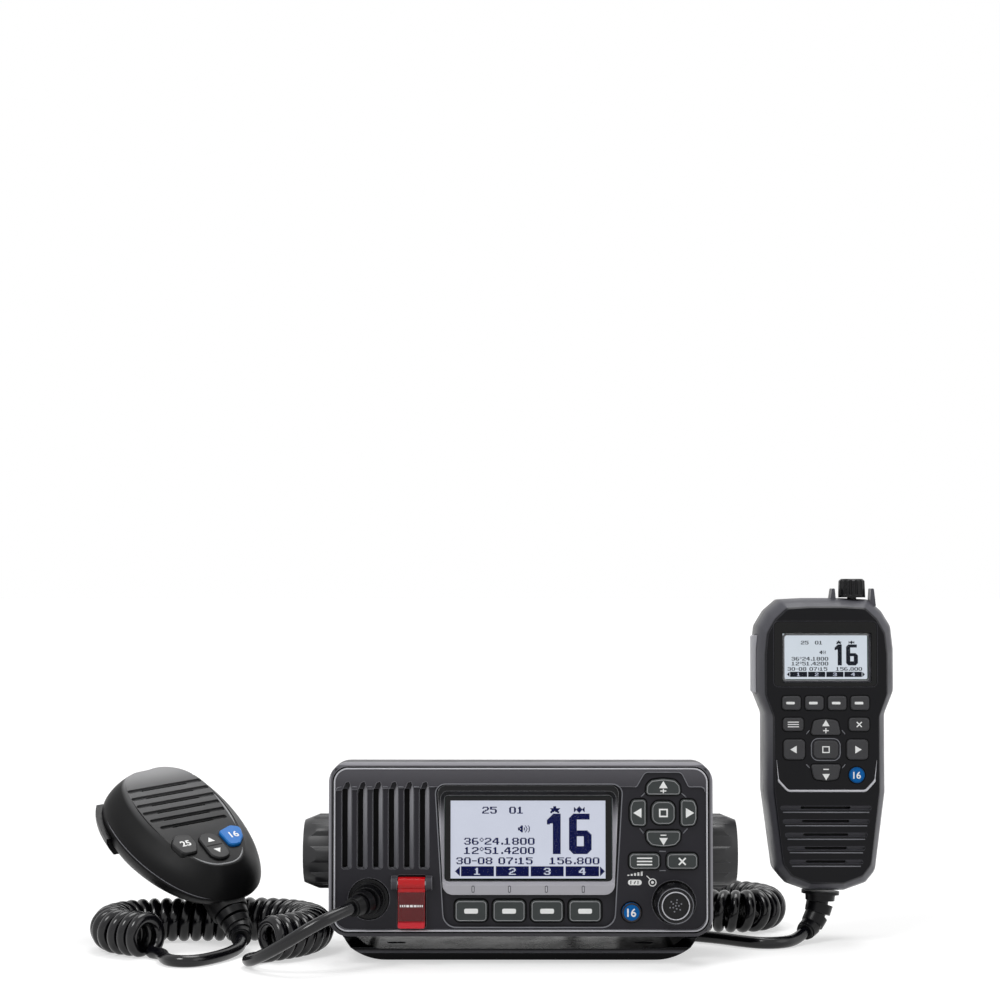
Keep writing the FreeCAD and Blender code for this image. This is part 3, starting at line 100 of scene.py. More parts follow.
@dataclass(frozen=True)
class Finish:
    """Colour and texture of one material; colours are sRGB from 0 to 255."""

    name: str
    surface: Surface
    colour: Colour
    roughness: float = 0.45
    gloss: float = 0.22
    grain: float = 0.0
    mottle: float = 0.06
    # rim: colour laid along edges by the edge mask, mostly a painted highlight
    rim: Optional[Colour] = None
    rim_width: float = 0.35
    rim_share: float = 0.8
    coat: float = 0.0
    # glow: the colour also shines; on the displays this is painted light
    glow: float = 0.0
    alpha: float = 1.0
    clear: Optional[Box] = None
    # layers: colour changes along axes, most of them painted light or shade
    layers: tuple[Layer, ...] = ()
    turned: Optional[tuple[Point3, Point3]] = None


MIC_AT = (-149.2, 38.2, 60.5)
MIC_TURNS = (41.2, 31.3, -6.9)


def mic_place() -> Matrix:
    """From the microphone's own frame to the part's frame, in millimetres."""
    turn, lean, roll = (math.radians(a) for a in MIC_TURNS)
    return (Matrix.Translation(MIC_AT) @ Matrix.Rotation(turn, 4, "Z")
            @ Matrix.Rotation(lean, 4, "X") @ Matrix.Rotation(roll, 4, "Y"))


MIC_FRAME = (MIC_AT, tuple(mic_place().to_euler()))
FACE_INSIDE = (0.0, FACE_Z, 75.6, 32.8)

# Painted light and shade on the front panel: the upper strip grows lighter towards the top, the
# bright bands along the top and side edges are painted highlights, as is the pale rim on every
# edge, and inside the face whatever lies deeper than about 3 mm is painted near black, the shade
# in key gaps and slot holes. The sunken field is darker, and so is whatever lies more than 2.4 mm
# behind the face.
CHARCOAL = Finish("charcoal_moulding", Surface.MOULDED, (60, 59, 64), 0.42, grain=0.55,
                  rim=(150, 150, 156), rim_width=0.5, rim_share=0.62,
                  layers=(Layer("Z", FACE_Z + 24, FACE_Z + 33.5, (82, 81, 86)),
                          Layer("Z", FACE_Z + 33.9, FACE_Z + 34.6, (146, 145, 151), 0.85),
                          Layer("X", -76.9, -77.7, (152, 151, 157), 0.85),
                          Layer("X", 76.9, 77.7, (152, 151, 157), 0.85),
                          Layer("Y", FACE_Y + 2.4, FACE_Y + 4.5, (44, 43, 48)),
                          Layer("Y", FACE_Y + 0.25, FACE_Y + 0.6, (29, 28, 34), 1.0, FACE_INSIDE),
                          Layer("Y", FACE_Y + 2.8, FACE_Y + 3.2, (4, 4, 5), 1.0, FACE_INSIDE)))
# Painted light on the handset: its sides just behind the face are painted lighter, darker again
# further back, and the pale rim on its edges is a painted highlight.
SHELL = Finish("handset_moulding", Surface.MOULDED, (9, 9, 13), 0.34, gloss=0.16, grain=0.7,
               mottle=0.14, rim=(112, 112, 120), rim_width=0.5, rim_share=0.45,
               layers=(Layer("Y", 20.3, 21.4, (86, 86, 92), 0.9),
                       Layer("Y", 28.5, 31.0, (30, 30, 34))))
# Painted light on the microphone: its face grows lighter towards its top end, a painted sheen,
# while the sides below the face stay dark; the pale rim on its edges is a painted highlight.
MIC_SHELL = Finish("microphone_moulding", Surface.MOULDED, (14, 14, 15), 0.4, gloss=0.12,
                   grain=0.6, rim=(104, 105, 105), rim_width=0.4, rim_share=0.22, turned=MIC_FRAME,
                   layers=(Layer("Y", -34.0, 20.0, (92, 92, 93)),
                           Layer("Y", 14.0, 27.0, (150, 150, 151)),
                           Layer("Z", -2.4, -4.2, (15, 15, 16))))
# From here on, a lighter rim colour is a painted highlight along the edges; on the blue keys the
# rim paints the edges dark, and on the grey talk key a little darker.
MIC_REAR = Finish("microphone_rear", Surface.MOULDED, (14, 14, 15), 0.42, gloss=0.15,
                  grain=0.6, rim=(56, 57, 58), rim_width=0.5, rim_share=0.35)
KEYS = Finish("key_rubber", Surface.RUBBER, (56, 60, 60), 0.5, grain=0.4, rim=(150, 155, 153),
              rim_width=0.3, rim_share=0.85)
SET_KEYS = Finish("handset_key_rubber", Surface.RUBBER, (60, 60, 62), 0.5, grain=0.4,
                  rim=(112, 112, 116), rim_width=0.25, rim_share=0.5)
MIC_KEYS = Finish("microphone_key_rubber", Surface.RUBBER, (26, 26, 27), 0.4, grain=0.4,
                  rim=(74, 75, 76), rim_width=0.4, rim_share=0.5)
BLUE = Finish("blue_key_rubber", Surface.RUBBER, (0, 92, 162), 0.4, gloss=0.12, grain=0.3,
              rim=(22, 22, 26), rim_width=0.5, rim_share=0.95)
MIC_BLUE = Finish("blue_mic_rubber", Surface.RUBBER, (20, 110, 190), 0.4, grain=0.3,
                  rim=(98, 170, 226), rim_width=0.35, rim_share=0.4)
# Painted shade: the silver frame turns nearly black towards its top; its pale rim is a painted
# highlight.
SILVER = Finish("silver_frame", Surface.PAINTED, (172, 171, 177), 0.36, grain=0.3,
                rim=(214, 214, 218), rim_width=0.35, rim_share=0.55,
                layers=(Layer("Z", FACE_Z + 8, FACE_Z + 21, (14, 14, 16)),))
WINDOW = Finish("clear_window", Surface.CLEAR, (3, 3, 5), 0.08, alpha=0.05,
                clear=(3.0, FACE_Z + 3.6, 31.6, 16.0))
SET_WINDOW = Finish("handset_clear_window", Surface.CLEAR, (3, 3, 4), 0.08, alpha=0.05,
                    clear=(132.7, 123.5, 19.1, 10.6))
# Painted light: the displays and the pale bar numbers glow, which shows them at their colour
# inside their shaded recesses.
LCD = Finish("lit_display", Surface.SCREEN, (204, 209, 224), 0.5, glow=1.0, mottle=0.03)
SET_LCD = Finish("handset_display", Surface.SCREEN, (208, 217, 226), 0.5, glow=1.0, mottle=0.03)
PIXELS = Finish("display_pixels", Surface.PRINT, (22, 28, 82), 0.6, gloss=0.05, mottle=0.0)
SET_PIXELS = Finish("handset_pixels", Surface.PRINT, (30, 34, 44), 0.6, gloss=0.1, mottle=0.0)
PALE_PIXELS = Finish("pale_pixels", Surface.SCREEN, (205, 213, 232), 0.5, glow=0.8, mottle=0.0)
WHITE = Finish("white_print", Surface.PRINT, (238, 239, 238), 0.45, mottle=0.02)
# Painted light on the red cover: brighter red along the hinge barrel, a pink lower lip and a pink
# rim on its edges.
RED_CLEAR = Finish("red_cover", Surface.CLEAR, (96, 8, 14), 0.14, gloss=0.3, alpha=0.88,
                   coat=0.1, rim=(232, 40, 52), rim_width=0.5, rim_share=0.4,
                   layers=(Layer("Z", FACE_Z - 17.2, FACE_Z - 16.4, (196, 6, 16)),
                           Layer("Z", FACE_Z - 28.4, FACE_Z - 29.4, (214, 26, 44))))
RED_KEY = Finish("red_key", Surface.RUBBER, (150, 8, 18), 0.45, grain=0.3, rim=(220, 60, 70))
CASE = Finish("case_paint", Surface.PAINTED, (26, 26, 28), 0.5, grain=0.8, rim=(72, 73, 76))
# Painted light: a light grey band at the height of the base's top face stands in for its sheen;
# the bracket is dark again above it, and its pale rim is a painted highlight.
BRACKET_PAINT = Finish("bracket_paint", Surface.PAINTED, (3, 3, 5), 0.25, gloss=0.1, grain=0.2,
                       rim=(128, 129, 134), rim_width=0.5, rim_share=0.4,
                       layers=(Layer("Z", 2.6, 2.95, (112, 112, 118)),
                               Layer("Z", 3.1, 4.5, (5, 5, 7))))
KNOB = Finish("knob_moulding", Surface.MOULDED, (12, 12, 14), 0.3, gloss=0.22, grain=0.35,
              rim=(88, 88, 93), rim_width=0.4, rim_share=0.4)
CLAMP = Finish("clamp_moulding", Surface.MOULDED, (22, 22, 25), 0.4, gloss=0.5, grain=0.35,
               rim=(112, 112, 117), rim_width=0.5, rim_share=0.5)
BLACK_RUBBER = Finish("black_rubber", Surface.RUBBER, (8, 8, 10), 0.3, gloss=0.18, grain=0.3,
                      rim=(58, 58, 61), rim_width=0.4, rim_share=0.35)
TALK_GREY = Finish("grey_talk_key", Surface.RUBBER, (188, 188, 193), 0.42, grain=0.4,
                   rim=(170, 170, 174), rim_share=0.4)
CORD_JACKET = Finish("cord_jacket", Surface.JACKET, (6, 6, 10), 0.2, gloss=0.42, grain=0.1)
BOARD = Finish("solder_mask", Surface.PRINT, (22, 74, 48), 0.4, grain=0.2)
STEEL = Finish("plain_steel", Surface.METAL, (196, 197, 200), 0.32, grain=0.2)
NICKEL = Finish("plated_socket", Surface.METAL, (206, 205, 200), 0.24, grain=0.1)
CONE = Finish("speaker_cone", Surface.RUBBER, (12, 12, 13), 0.6, grain=0.6)
# Near black: as lines in the face groove, round the keys and in the microphone's grooves it is
# painted shade; it also colours the microphone's seam, printed bars and the grille cloth.
DARK_LINE = Finish("dark_groove", Surface.MOULDED, (3, 3, 4), 0.5, gloss=0.1, grain=0.2)
# Pale grey: the lines along the face's step, round the display's bay and round the knob's edge are
# painted highlights.
GREY_LINE = Finish("grey_bead", Surface.MOULDED, (124, 125, 131), 0.36, grain=0.2)
# Painted light: the louvres' pale grey, lighter towards the top, stands in for the light on their
# sloped walls; the grey line beside the microphone's seam is a painted highlight too.
MID_GREY = Finish("louvre_grey", Surface.MOULDED, (98, 98, 103), 0.4, grain=0.4,
                  layers=(Layer("Z", FACE_Z - 6, FACE_Z + 22, (146, 146, 151)),))
COLLAR = Finish("key_collar", Surface.RUBBER, (44, 42, 46), 0.4, grain=0.2)
# Painted highlights: the pale lines round the key tops and along the microphone's ridge, the
# bright bead round the face and the bright rings on the knob.
RIDGE_GREY = Finish("ridge_grey", Surface.MOULDED, (150, 151, 153), 0.36, grain=0.3)
BRIGHT_LINE = Finish("bright_bead", Surface.PAINTED, (196, 196, 202), 0.25, gloss=0.5, grain=0.1)


def linear(colour: Sequence[int]) -> tuple[float, float, float, float]:
    """The linear colour of an sRGB one, with full alpha."""
    shares = [c / 255 for c in colour]
    return (*(c / 12.92 if c <= 0.04045 else ((c + 0.055) / 1.055) ** 2.4 for c in shares), 1.0)


class Graph:
    """Short-hand for laying out the nodes of one tree."""

    def __init__(self, tree: bpy.types.NodeTree) -> None:
        """Keeps the tree."""
        self.tree = tree

    def put(self, value, socket: bpy.types.NodeSocket) -> None:
        """Links a socket from another one, or sets its value."""
        if isinstance(value, bpy.types.NodeSocket):
            self.tree.links.new(value, socket)
        else:
            socket.default_value = value

    def add(self, kind: str, values: Optional[dict] = None, **settings) -> bpy.types.Node:
        """Adds a node.

        Args:
            kind: Type name of the node.
            values: Socket name or index to a number, or to a socket to link from.
            settings: Properties of the node.

        Returns:
            The new node.
        """
        node = self.tree.nodes.new(kind)
        for name, value in settings.items():
            setattr(node, name, value)
        for name, value in (values or {}).items():
            self.put(value, node.inputs[name])
        return node

    def maths(self, operation: str, *values) -> bpy.types.NodeSocket:
        """The result of a Math node on values or sockets."""
        node = self.add("ShaderNodeMath", dict(enumerate(values)), operation=operation)
        return node.outputs[0]

    def ramp(self, *values, **settings) -> bpy.types.NodeSocket:
        """Maps a value: from low, from high, to low, to high."""
        return self.add("ShaderNodeMapRange", dict(enumerate(values)), **settings).outputs[0]

    def mix(self, share, a, b) -> bpy.types.NodeSocket:
        """Blends two colours by a share, each a value or a socket."""
        return self.add("ShaderNodeMix", {0: share, 6: a, 7: b}, data_type="RGBA").outputs[2]

    def object_place(self) -> bpy.types.NodeSocket:
        """Object coordinates."""
        return self.add("ShaderNodeTexCoord").outputs["Object"]


def group_tree(name: str, kind: str, inputs: Iterable[tuple], outputs: Iterable[tuple]) -> tuple:
    """A node group with named sockets.

    Args:
        name: Name of the group.
        kind: Tree type.
        inputs: Name, socket type and default of each input.
        outputs: Name and socket type of each output.

    Returns:
        The tree, its graph, the sockets of its input node and those of its output node.
    """
    tree = bpy.data.node_groups.new(name, kind)
    for label, socket, default in inputs:
        made = tree.interface.new_socket(label, in_out="INPUT", socket_type=socket)
        if default is not None:
            made.default_value = default
    for label, socket in outputs:
        tree.interface.new_socket(label, in_out="OUTPUT", socket_type=socket)
    graph = Graph(tree)
    source, result = graph.add("NodeGroupInput"), graph.add("NodeGroupOutput")
    return tree, graph, source.outputs, result.inputs


def make_grain_group() -> bpy.types.NodeTree:
    """Fine moulded grain: a height, and a slow mask."""
    tree, graph, given, result = group_tree(
        "moulded_grain", "ShaderNodeTree", [("Scale", "NodeSocketFloat", GRAIN_SCALE)],
        [("Height", "NodeSocketFloat"), ("Mottle", "NodeSocketFloat")])
    place = graph.object_place()
    fine = graph.add("ShaderNodeTexNoise", {"Vector": place, "Scale": given["Scale"],
                                            "Detail": 2.0, "Roughness": 0.6})
    slow = graph.add("ShaderNodeTexNoise", {"Vector": place, "Scale": 90.0, "Detail": 4.0})
    graph.put(fine.outputs[0], result["Height"])
    graph.put(slow.outputs[0], result["Mottle"])
    return tree


def make_edge_group() -> bpy.types.NodeTree:
    """A mask of the outward and inward edges of a piece."""
    tree, graph, given, result = group_tree(
        "edge_mask", "ShaderNodeTree", [("Width", "NodeSocketFloat", 0.0004)],
        [("Mask", "NodeSocketFloat")])
    rounded_off = graph.add("ShaderNodeBevel", {"Radius": given["Width"]}, samples=6)
    plain_normal = graph.add("ShaderNodeNewGeometry").outputs["Normal"]
    dot = graph.add("ShaderNodeVectorMath", {0: rounded_off.outputs[0], 1: plain_normal},
                    operation="DOT_PRODUCT")
    graph.put(graph.ramp(dot.outputs["Value"], 0.995, 0.86, 0.0, 1.0), result["Mask"])
    return tree


def make_box_group() -> bpy.types.NodeTree:
    """A mask of what lies inside an upright box, seen along Y."""
    tree, graph, given, result = group_tree(
        "upright_box_mask", "ShaderNodeTree",
        [("Middle X", "NodeSocketFloat", 0.0), ("Middle Z", "NodeSocketFloat", 0.0),
         ("Half Width", "NodeSocketFloat", 0.01), ("Half Height", "NodeSocketFloat", 0.01),
         ("Softness", "NodeSocketFloat", 0.0001)],
        [("Mask", "NodeSocketFloat")])
    apart = graph.add("ShaderNodeSeparateXYZ", {0: graph.object_place()})
    masks = []
    for axis, middle, half in (("X", "Middle X", "Half Width"), ("Z", "Middle Z", "Half Height")):
        off = graph.maths("SUBTRACT", apart.outputs[axis], given[middle])
        outer = graph.maths("ADD", given[half], given["Softness"])
        masks.append(graph.ramp(graph.maths("ABSOLUTE", off), given[half], outer, 1.0, 0.0))
    graph.put(graph.maths("MULTIPLY", *masks), result["Mask"])
    return tree


class Paints:
    """Makes each finish's material once."""

    def __init__(self) -> None:
        """Builds the shared groups."""
        self.grain = make_grain_group()
        self.edges = make_edge_group()
        self.boxes = make_box_group()
        self.made: dict[str, bpy.types.Material] = {}

    def get(self, finish: Finish) -> bpy.types.Material:
        """The material of a finish."""
        if finish.name not in self.made:
            self.made[finish.name] = self.build(finish)
        return self.made[finish.name]

    def box_mask(self, graph: Graph, box: Box, soft: float) -> bpy.types.NodeSocket:
        """A mask that is 1 inside an upright box given by its middle and half sizes."""
        labels = "Middle X", "Middle Z", "Half Width", "Half Height", "Softness"
        values = {label: value * MM for label, value in zip(labels, (*box, soft))}
        return graph.add("ShaderNodeGroup", values, node_tree=self.boxes).outputs["Mask"]

    def layered(self, graph: Graph, finish: Finish,
                shown: bpy.types.NodeSocket) -> bpy.types.NodeSocket:
        """Adds the finish's changes of colour along the axes.

        Args:
            graph: The material's graph.
            finish: What to make.
            shown: The colour so far.

        Returns:
            The colour with the layers on it.
        """
        place = graph.object_place()
        if finish.turned:
            at, turns = finish.turned
            place = graph.add("ShaderNodeMapping", {"Vector": place, "Rotation": turns,
                                                    "Location": [c * MM for c in at]},
                              vector_type="TEXTURE").outputs[0]
        apart = graph.add("ShaderNodeSeparateXYZ", {0: place})
        # Most layers paint light or shade into the colour, as noted at each finish.
        for layer in finish.layers:
            (start, low), (end, high) = sorted(((layer.start, 0.0), (layer.end, layer.share)))
            ramp = graph.ramp(apart.outputs[layer.axis], start * MM, end * MM, low, high,
                              interpolation_type="SMOOTHSTEP")
            if layer.inside:
                ramp = graph.maths("MULTIPLY", ramp, self.box_mask(graph, layer.inside, 0.2))
            shown = graph.mix(ramp, shown, linear(layer.colour))
        return shown

    def build(self, finish: Finish) -> bpy.types.Material:
        """Lays out the nodes of a finish.

        Args:
            finish: What to make.

        Returns:
            The new material.
        """
        material = bpy.data.materials.new(finish.name)
        material.use_nodes = True
        graph = Graph(material.node_tree)
        shader = material.node_tree.nodes["Principled BSDF"].inputs
        metal = finish.surface is Surface.METAL
        grain = graph.add("ShaderNodeGroup", {"Scale": GRAIN_SCALE}, node_tree=self.grain)
        mottle = grain.outputs["Mottle"]
        deep, pale = ((*(min(1.0, c * (1 + change)) for c in linear(finish.colour)[:3]), 1.0)
                      for change in (-finish.mottle, finish.mottle))
        shown = self.layered(graph, finish, graph.mix(mottle, deep, pale))
        # Painted highlight: the rim colour goes on along the edges.
        if finish.rim:
            edge = graph.add("ShaderNodeGroup", {"Width": finish.rim_width * MM},
                             node_tree=self.edges)
            share = graph.maths("MULTIPLY", edge.outputs["Mask"], finish.rim_share)
            shown = graph.mix(share, shown, linear(finish.rim))
        # Painted light: a glowing finish shows its colour by its own glow, over a dark base.
        if finish.glow:
            graph.put(shown, shader["Emission Color"])
            graph.put(finish.glow, shader["Emission Strength"])
            shown = graph.mix(mottle, *UNLIT)
        graph.put(shown, shader["Base Color"])
        if finish.grain:
            bump = graph.add("ShaderNodeBump", {"Strength": finish.grain, "Distance": GRAIN_DEPTH,
                                                "Height": grain.outputs["Height"]})
            if finish.surface in (Surface.MOULDED, Surface.PAINTED, Surface.RUBBER):
                soft = graph.add("ShaderNodeBevel", {"Radius": SOFT_EDGE}, samples=4)
                graph.put(soft.outputs[0], bump.inputs["Normal"])
            graph.put(bump.outputs[0], shader["Normal"])
        graph.put(graph.ramp(mottle, 0.3, 0.7, max(0.02, finish.roughness - 0.05),
                             finish.roughness + 0.05), shader["Roughness"])
        graph.put(0.5 if metal else finish.gloss, shader["Specular IOR Level"])
        graph.put(1.0 if metal else 0.0, shader["Metallic"])
        if finish.coat:
            graph.put(finish.coat, shader["Coat Weight"])
            graph.put(0.12, shader["Coat Roughness"])
        if finish.clear:
            mask = self.box_mask(graph, finish.clear, 0.1)
            graph.put(graph.ramp(mask, 0.0, 1.0, 1.0, finish.alpha), shader["Alpha"])
        elif finish.surface is Surface.CLEAR:
            graph.put(finish.alpha, shader["Alpha"])
        return material


# ------------------------------------------------------------------ shop
def make_smoothing_tree() -> bpy.types.NodeTree:
    """Joins loose triangles and shades them smooth up to a named angle."""
    tree, graph, given, result = group_tree(
        "smooth_up_to_angle", "GeometryNodeTree",
        [("Geometry", "NodeSocketGeometry", None), ("Angle", "NodeSocketFloat", 0.5)],
        [("Geometry", "NodeSocketGeometry")])
    joined = graph.add("GeometryNodeMergeByDistance",
                       {"Geometry": given["Geometry"], "Distance": WELD})
    smooth = graph.add("GeometryNodeSetShadeSmooth",
                       {"Geometry": joined.outputs[0], "Shade Smooth": True}, domain="FACE")
    angle = graph.add("GeometryNodeInputMeshEdgeAngle")
    sharp = graph.add("FunctionNodeCompare", {0: angle.outputs[0], 1: given["Angle"]},
                      data_type="FLOAT", operation="GREATER_THAN")
    creased = graph.add("GeometryNodeSetShadeSmooth",
                        {"Geometry": smooth.outputs[0], "Selection": sharp.outputs[0],
                         "Shade Smooth": False}, domain="EDGE")
    graph.put(creased.outputs[0], result["Geometry"])
    return tree


def end_with_copies(graph: Graph, points, copied, given, result) -> None:
    """Puts a copy on each point, and ends the tree with plain geometry and its material."""
    laid = graph.add("GeometryNodeInstanceOnPoints", {"Points": points, "Instance": copied})
    real = graph.add("GeometryNodeRealizeInstances", {"Geometry": laid.outputs[0]})
    done = graph.add("GeometryNodeSetMaterial",
                     {"Geometry": real.outputs[0], "Material": given["Material"]})
    graph.put(done.outputs[0], result["Geometry"])


def make_stamp_tree() -> bpy.types.NodeTree:
    """Puts a small upright box on every point of a mesh."""
    tree, graph, given, result = group_tree(
        "stamp_on_points", "GeometryNodeTree",
        [("Geometry", "NodeSocketGeometry", None), ("Width", "NodeSocketFloat", 0.0004),
         ("Depth", "NodeSocketFloat", 0.00005), ("Height", "NodeSocketFloat", 0.0004),
         ("Material", "NodeSocketMaterial", None)],
        [("Geometry", "NodeSocketGeometry")])
    size = graph.add("ShaderNodeCombineXYZ",
                     {0: given["Width"], 1: given["Depth"], 2: given["Height"]})
    cell = graph.add("GeometryNodeMeshCube", {"Size": size.outputs[0]})
    end_with_copies(graph, given["Geometry"], cell.outputs["Mesh"], given, result)
    return tree


def make_row_tree() -> bpy.types.NodeTree:
    """Repeats a mesh in a straight row."""
    tree, graph, given, result = group_tree(
        "row_of_copies", "GeometryNodeTree",
        [("Geometry", "NodeSocketGeometry", None), ("Count", "NodeSocketInt", 2),
         ("Step", "NodeSocketVector", (0.01, 0.0, 0.0)), ("Material", "NodeSocketMaterial", None)],
        [("Geometry", "NodeSocketGeometry")])
    line = graph.add("GeometryNodeMeshLine", {"Count": given["Count"], "Offset": given["Step"]},
                     mode="OFFSET")
    end_with_copies(graph, line.outputs[0], given["Geometry"], given, result)
    return tree


def socket_id(tree: bpy.types.NodeTree, name: str) -> str:
    """The identifier of a tree's input."""
    return next(item.identifier for item in tree.interface.items_tree
                if item.name == name and item.in_out == "INPUT")


def linked(name: str, data: Optional[bpy.types.ID]) -> bpy.types.Object:
    """A new object in the scene."""
    obj = bpy.data.objects.new(name, data)
    bpy.context.scene.collection.objects.link(obj)
    return obj


def taken_mesh(name: str, carrier: bpy.types.Object) -> bpy.types.Mesh:
    """The plain mesh that an object evaluates to; the object goes."""
    bpy.context.view_layer.update()
    graph = bpy.context.evaluated_depsgraph_get()
    mesh = bpy.data.meshes.new_from_object(carrier.evaluated_get(graph))
    bpy.data.objects.remove(carrier)
    mesh.name = name
    return mesh


class Workshop:
    """Makes pieces and dresses CAD nodes."""

    def __init__(self) -> None:
        """Builds the shared trees and paints."""
        self.paints = Paints()
        self.smoothing = make_smoothing_tree()
        self.stamps = make_stamp_tree()
        self.rows = make_row_tree()

    def dress(self, finish: Finish, nodes: str, angle: float = 0.5) -> None:
        """Gives CAD nodes a finish and smooth shading.

        Args:
            finish: Their finish.
            nodes: Names of the nodes, with spaces between them.
            angle: Edges sharper than this, in radians, stay sharp.
        """
        for node in nodes.split():
            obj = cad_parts[node]
            obj.data.materials.clear()
            obj.data.materials.append(self.paints.get(finish))
            modifier = obj.modifiers.new("smooth", "NODES")
            modifier.node_group = self.smoothing
            modifier[socket_id(self.smoothing, "Angle")] = angle
            log.info("dressed %s", node)

    def piece(self, name: str, mesh: bpy.types.Mesh, finish: Optional[Finish], body: str,
              slot: str) -> bpy.types.Object:
        """Links a finished mesh as a piece of the object.

        Args:
            name: Name of the piece.
            mesh: Its mesh, in place.
            finish: Its finish, or None where the mesh has its material.
            body: The body it rides on.
            slot: The record's material slot; not used.

        Returns:
            The new object.
        """
        obj = linked(name, mesh)
        if finish is not None:
            mesh.materials.clear()
            mesh.materials.append(self.paints.get(finish))
        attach(obj, body)
        log.info("made %s, %d faces", name, len(mesh.polygons))
        return obj

    def applied(self, name: str, mesh: bpy.types.Mesh, tree: bpy.types.NodeTree,
                values: dict) -> bpy.types.Mesh:
        """The plain mesh that a tree makes of another mesh.

        Args:
            name: Name of the new mesh.
            mesh: What the tree starts from.
            tree: The geometry nodes.
            values: Input name to value.

        Returns:
            The result, without a modifier.
        """
        carrier = linked(name + "_carrier", mesh)
        modifier = carrier.modifiers.new("nodes", "NODES")
        modifier.node_group = tree
        for label, value in values.items():
            modifier[socket_id(tree, label)] = value
        return taken_mesh(name, carrier)

    def stamped(self, name: str, points: Sequence[Vector], size: Point3, finish: Finish,
                body: str, slot: str) -> None:
        """A piece of small boxes, one on each point, sizes in millimetres."""
        mesh = bpy.data.meshes.new(name + "_points")
        mesh.from_pydata([p * MM for p in points], [], [])
        values = {label: value * MM for label, value in zip(("Width", "Depth", "Height"), size)}
        values["Material"] = self.paints.get(finish)
        self.piece(name, self.applied(name, mesh, self.stamps, values), None, body, slot)

    def row(self, name: str, mesh: bpy.types.Mesh, count: int, step: Point3, finish: Finish,
            body: str, slot: str) -> None:
        """A piece of equal copies in a row, its step in millimetres."""
        values = {"Count": count, "Step": [c * MM for c in step],
                  "Material": self.paints.get(finish)}
        self.piece(name, self.applied(name, mesh, self.rows, values), None, body, slot)


# ------------------------------------------------------------------ outlines and meshes
def rounded(points: Sequence[Point2], radii: Sequence[float] | float,
            steps: int = 6) -> list[Point2]:
    """A closed outline whose corners are arcs.

    Args:
        points: Its corners.
        radii: One radius for all, or one each.
        steps: Runs in each arc.

    Returns:
        The points of the outline.
    """
    count = len(points)
    sizes = [radii] * count if isinstance(radii, (int, float)) else radii
    out = []
    for i, corner in enumerate(points):
        here = Vector(corner)
        back = (Vector(points[i - 1]) - here).normalized()
        on = (Vector(points[(i + 1) % count]) - here).normalized()
        half = back.angle(on) / 2
        middle = here + (back + on).normalized() * sizes[i] / math.sin(half)
        reach = sizes[i] / math.tan(half)
        start = here + back * reach - middle
        sweep = start.angle_signed(here + on * reach - middle)
        out += [tuple(middle + Matrix.Rotation(-sweep * k / steps, 2) @ start)
                for k in range(steps + 1)]
    return out


def round_profile(radius: float, lift: float = 0.0, count: int = 8) -> list[Point2]:
    """A round section: how far across and how far in front of the path."""
    turns = [2 * math.pi * i / count for i in range(count)]
    return [(radius * math.cos(turn), lift + radius * math.sin(turn)) for turn in turns]


def flat_profile(inner: float, outer: float, low: float = 0.0, high: float = 0.05) -> list[Point2]:
    """A flat section beside a path."""
    return [(inner, low), (outer, low), (outer, high), (inner, high)]


def placed_mesh(name: str, shape: bmesh.types.BMesh, place: Matrix) -> bpy.types.Mesh:
    """A shape in millimetres as a mesh in metres, in its place and with its faces outward."""
    bmesh.ops.recalc_face_normals(shape, faces=shape.faces)
    shape.transform(Matrix.Scale(MM, 4) @ place)
    mesh = bpy.data.meshes.new(name)
    shape.to_mesh(mesh)
    shape.free()
    return mesh


def bead_mesh(name: str, paths: Sequence[Sequence[Sequence[float]]], profile: Sequence[Point2],
              place: Matrix, closed: bool = True, taper: int = 0) -> bpy.types.Mesh:
    """A section swept along paths drawn in X and Z, facing -Y before their placing.

    Args:
        name: Name of the mesh.
        paths: Points of each; a third number lifts a point towards the front.
        profile: The section, across the path to its right and in front of it.
        place: Where it goes, in millimetres.
        closed: Whether the paths close.
        taper: Points over which an open end thins out.

    Returns:
        The mesh, in metres.
    """
    shape = bmesh.new()
    for path in paths:
        last = len(path) - 1
        rings = []
        for i, point in enumerate(path):
            before = path[i - 1] if closed or i else point
            after = path[(i + 1) % len(path)] if closed or i < last else point
            way = Vector((after[0] - before[0], after[1] - before[1])).normalized()
            lift = point[2] if len(point) > 2 else 0.0
            size = min(1.0, (min(i, last - i) + 0.4) / taper) if taper and not closed else 1.0
            rings.append([shape.verts.new((point[0] + way.y * a * size, -lift - b * size,
                                           point[1] - way.x * a * size)) for a, b in profile])
        for ring, on in zip(rings, rings[1:] + rings[:1] if closed else rings[1:]):
            for k in range(len(profile)):
                m = (k + 1) % len(profile)
                shape.faces.new((ring[k], ring[m], on[m], on[k])).smooth = len(profile) > 4
        if not closed:
            shape.faces.new(rings[0][::-1])
            shape.faces.new(rings[-1])
    return placed_mesh(name, shape, place)


def plate_mesh(name: str, outlines: Sequence[Sequence[Point2]], thick: float,
               place: Matrix) -> bpy.types.Mesh:
    """Flat plates cut to closed outlines, drawn in X and Z and facing -Y before their placing.

    Args:
        name: Name of the mesh.
        outlines: Corners of each plate, counter-clockwise seen from the front.
        thick: Thickness, towards +Y.
        place: Where the plates go, in millimetres.

    Returns:
        The mesh, in metres.
    """
    shape = bmesh.new()
    for corners in outlines:
        front = [shape.verts.new((x, 0, z)) for x, z in corners]
        back = [shape.verts.new((x, thick, z)) for x, z in corners]
        shape.faces.new(front)
        shape.faces.new(back[::-1])
        for i in range(len(corners)):
            shape.faces.new((front[i], front[i - 1], back[i - 1], back[i]))
    return placed_mesh(name, shape, place)


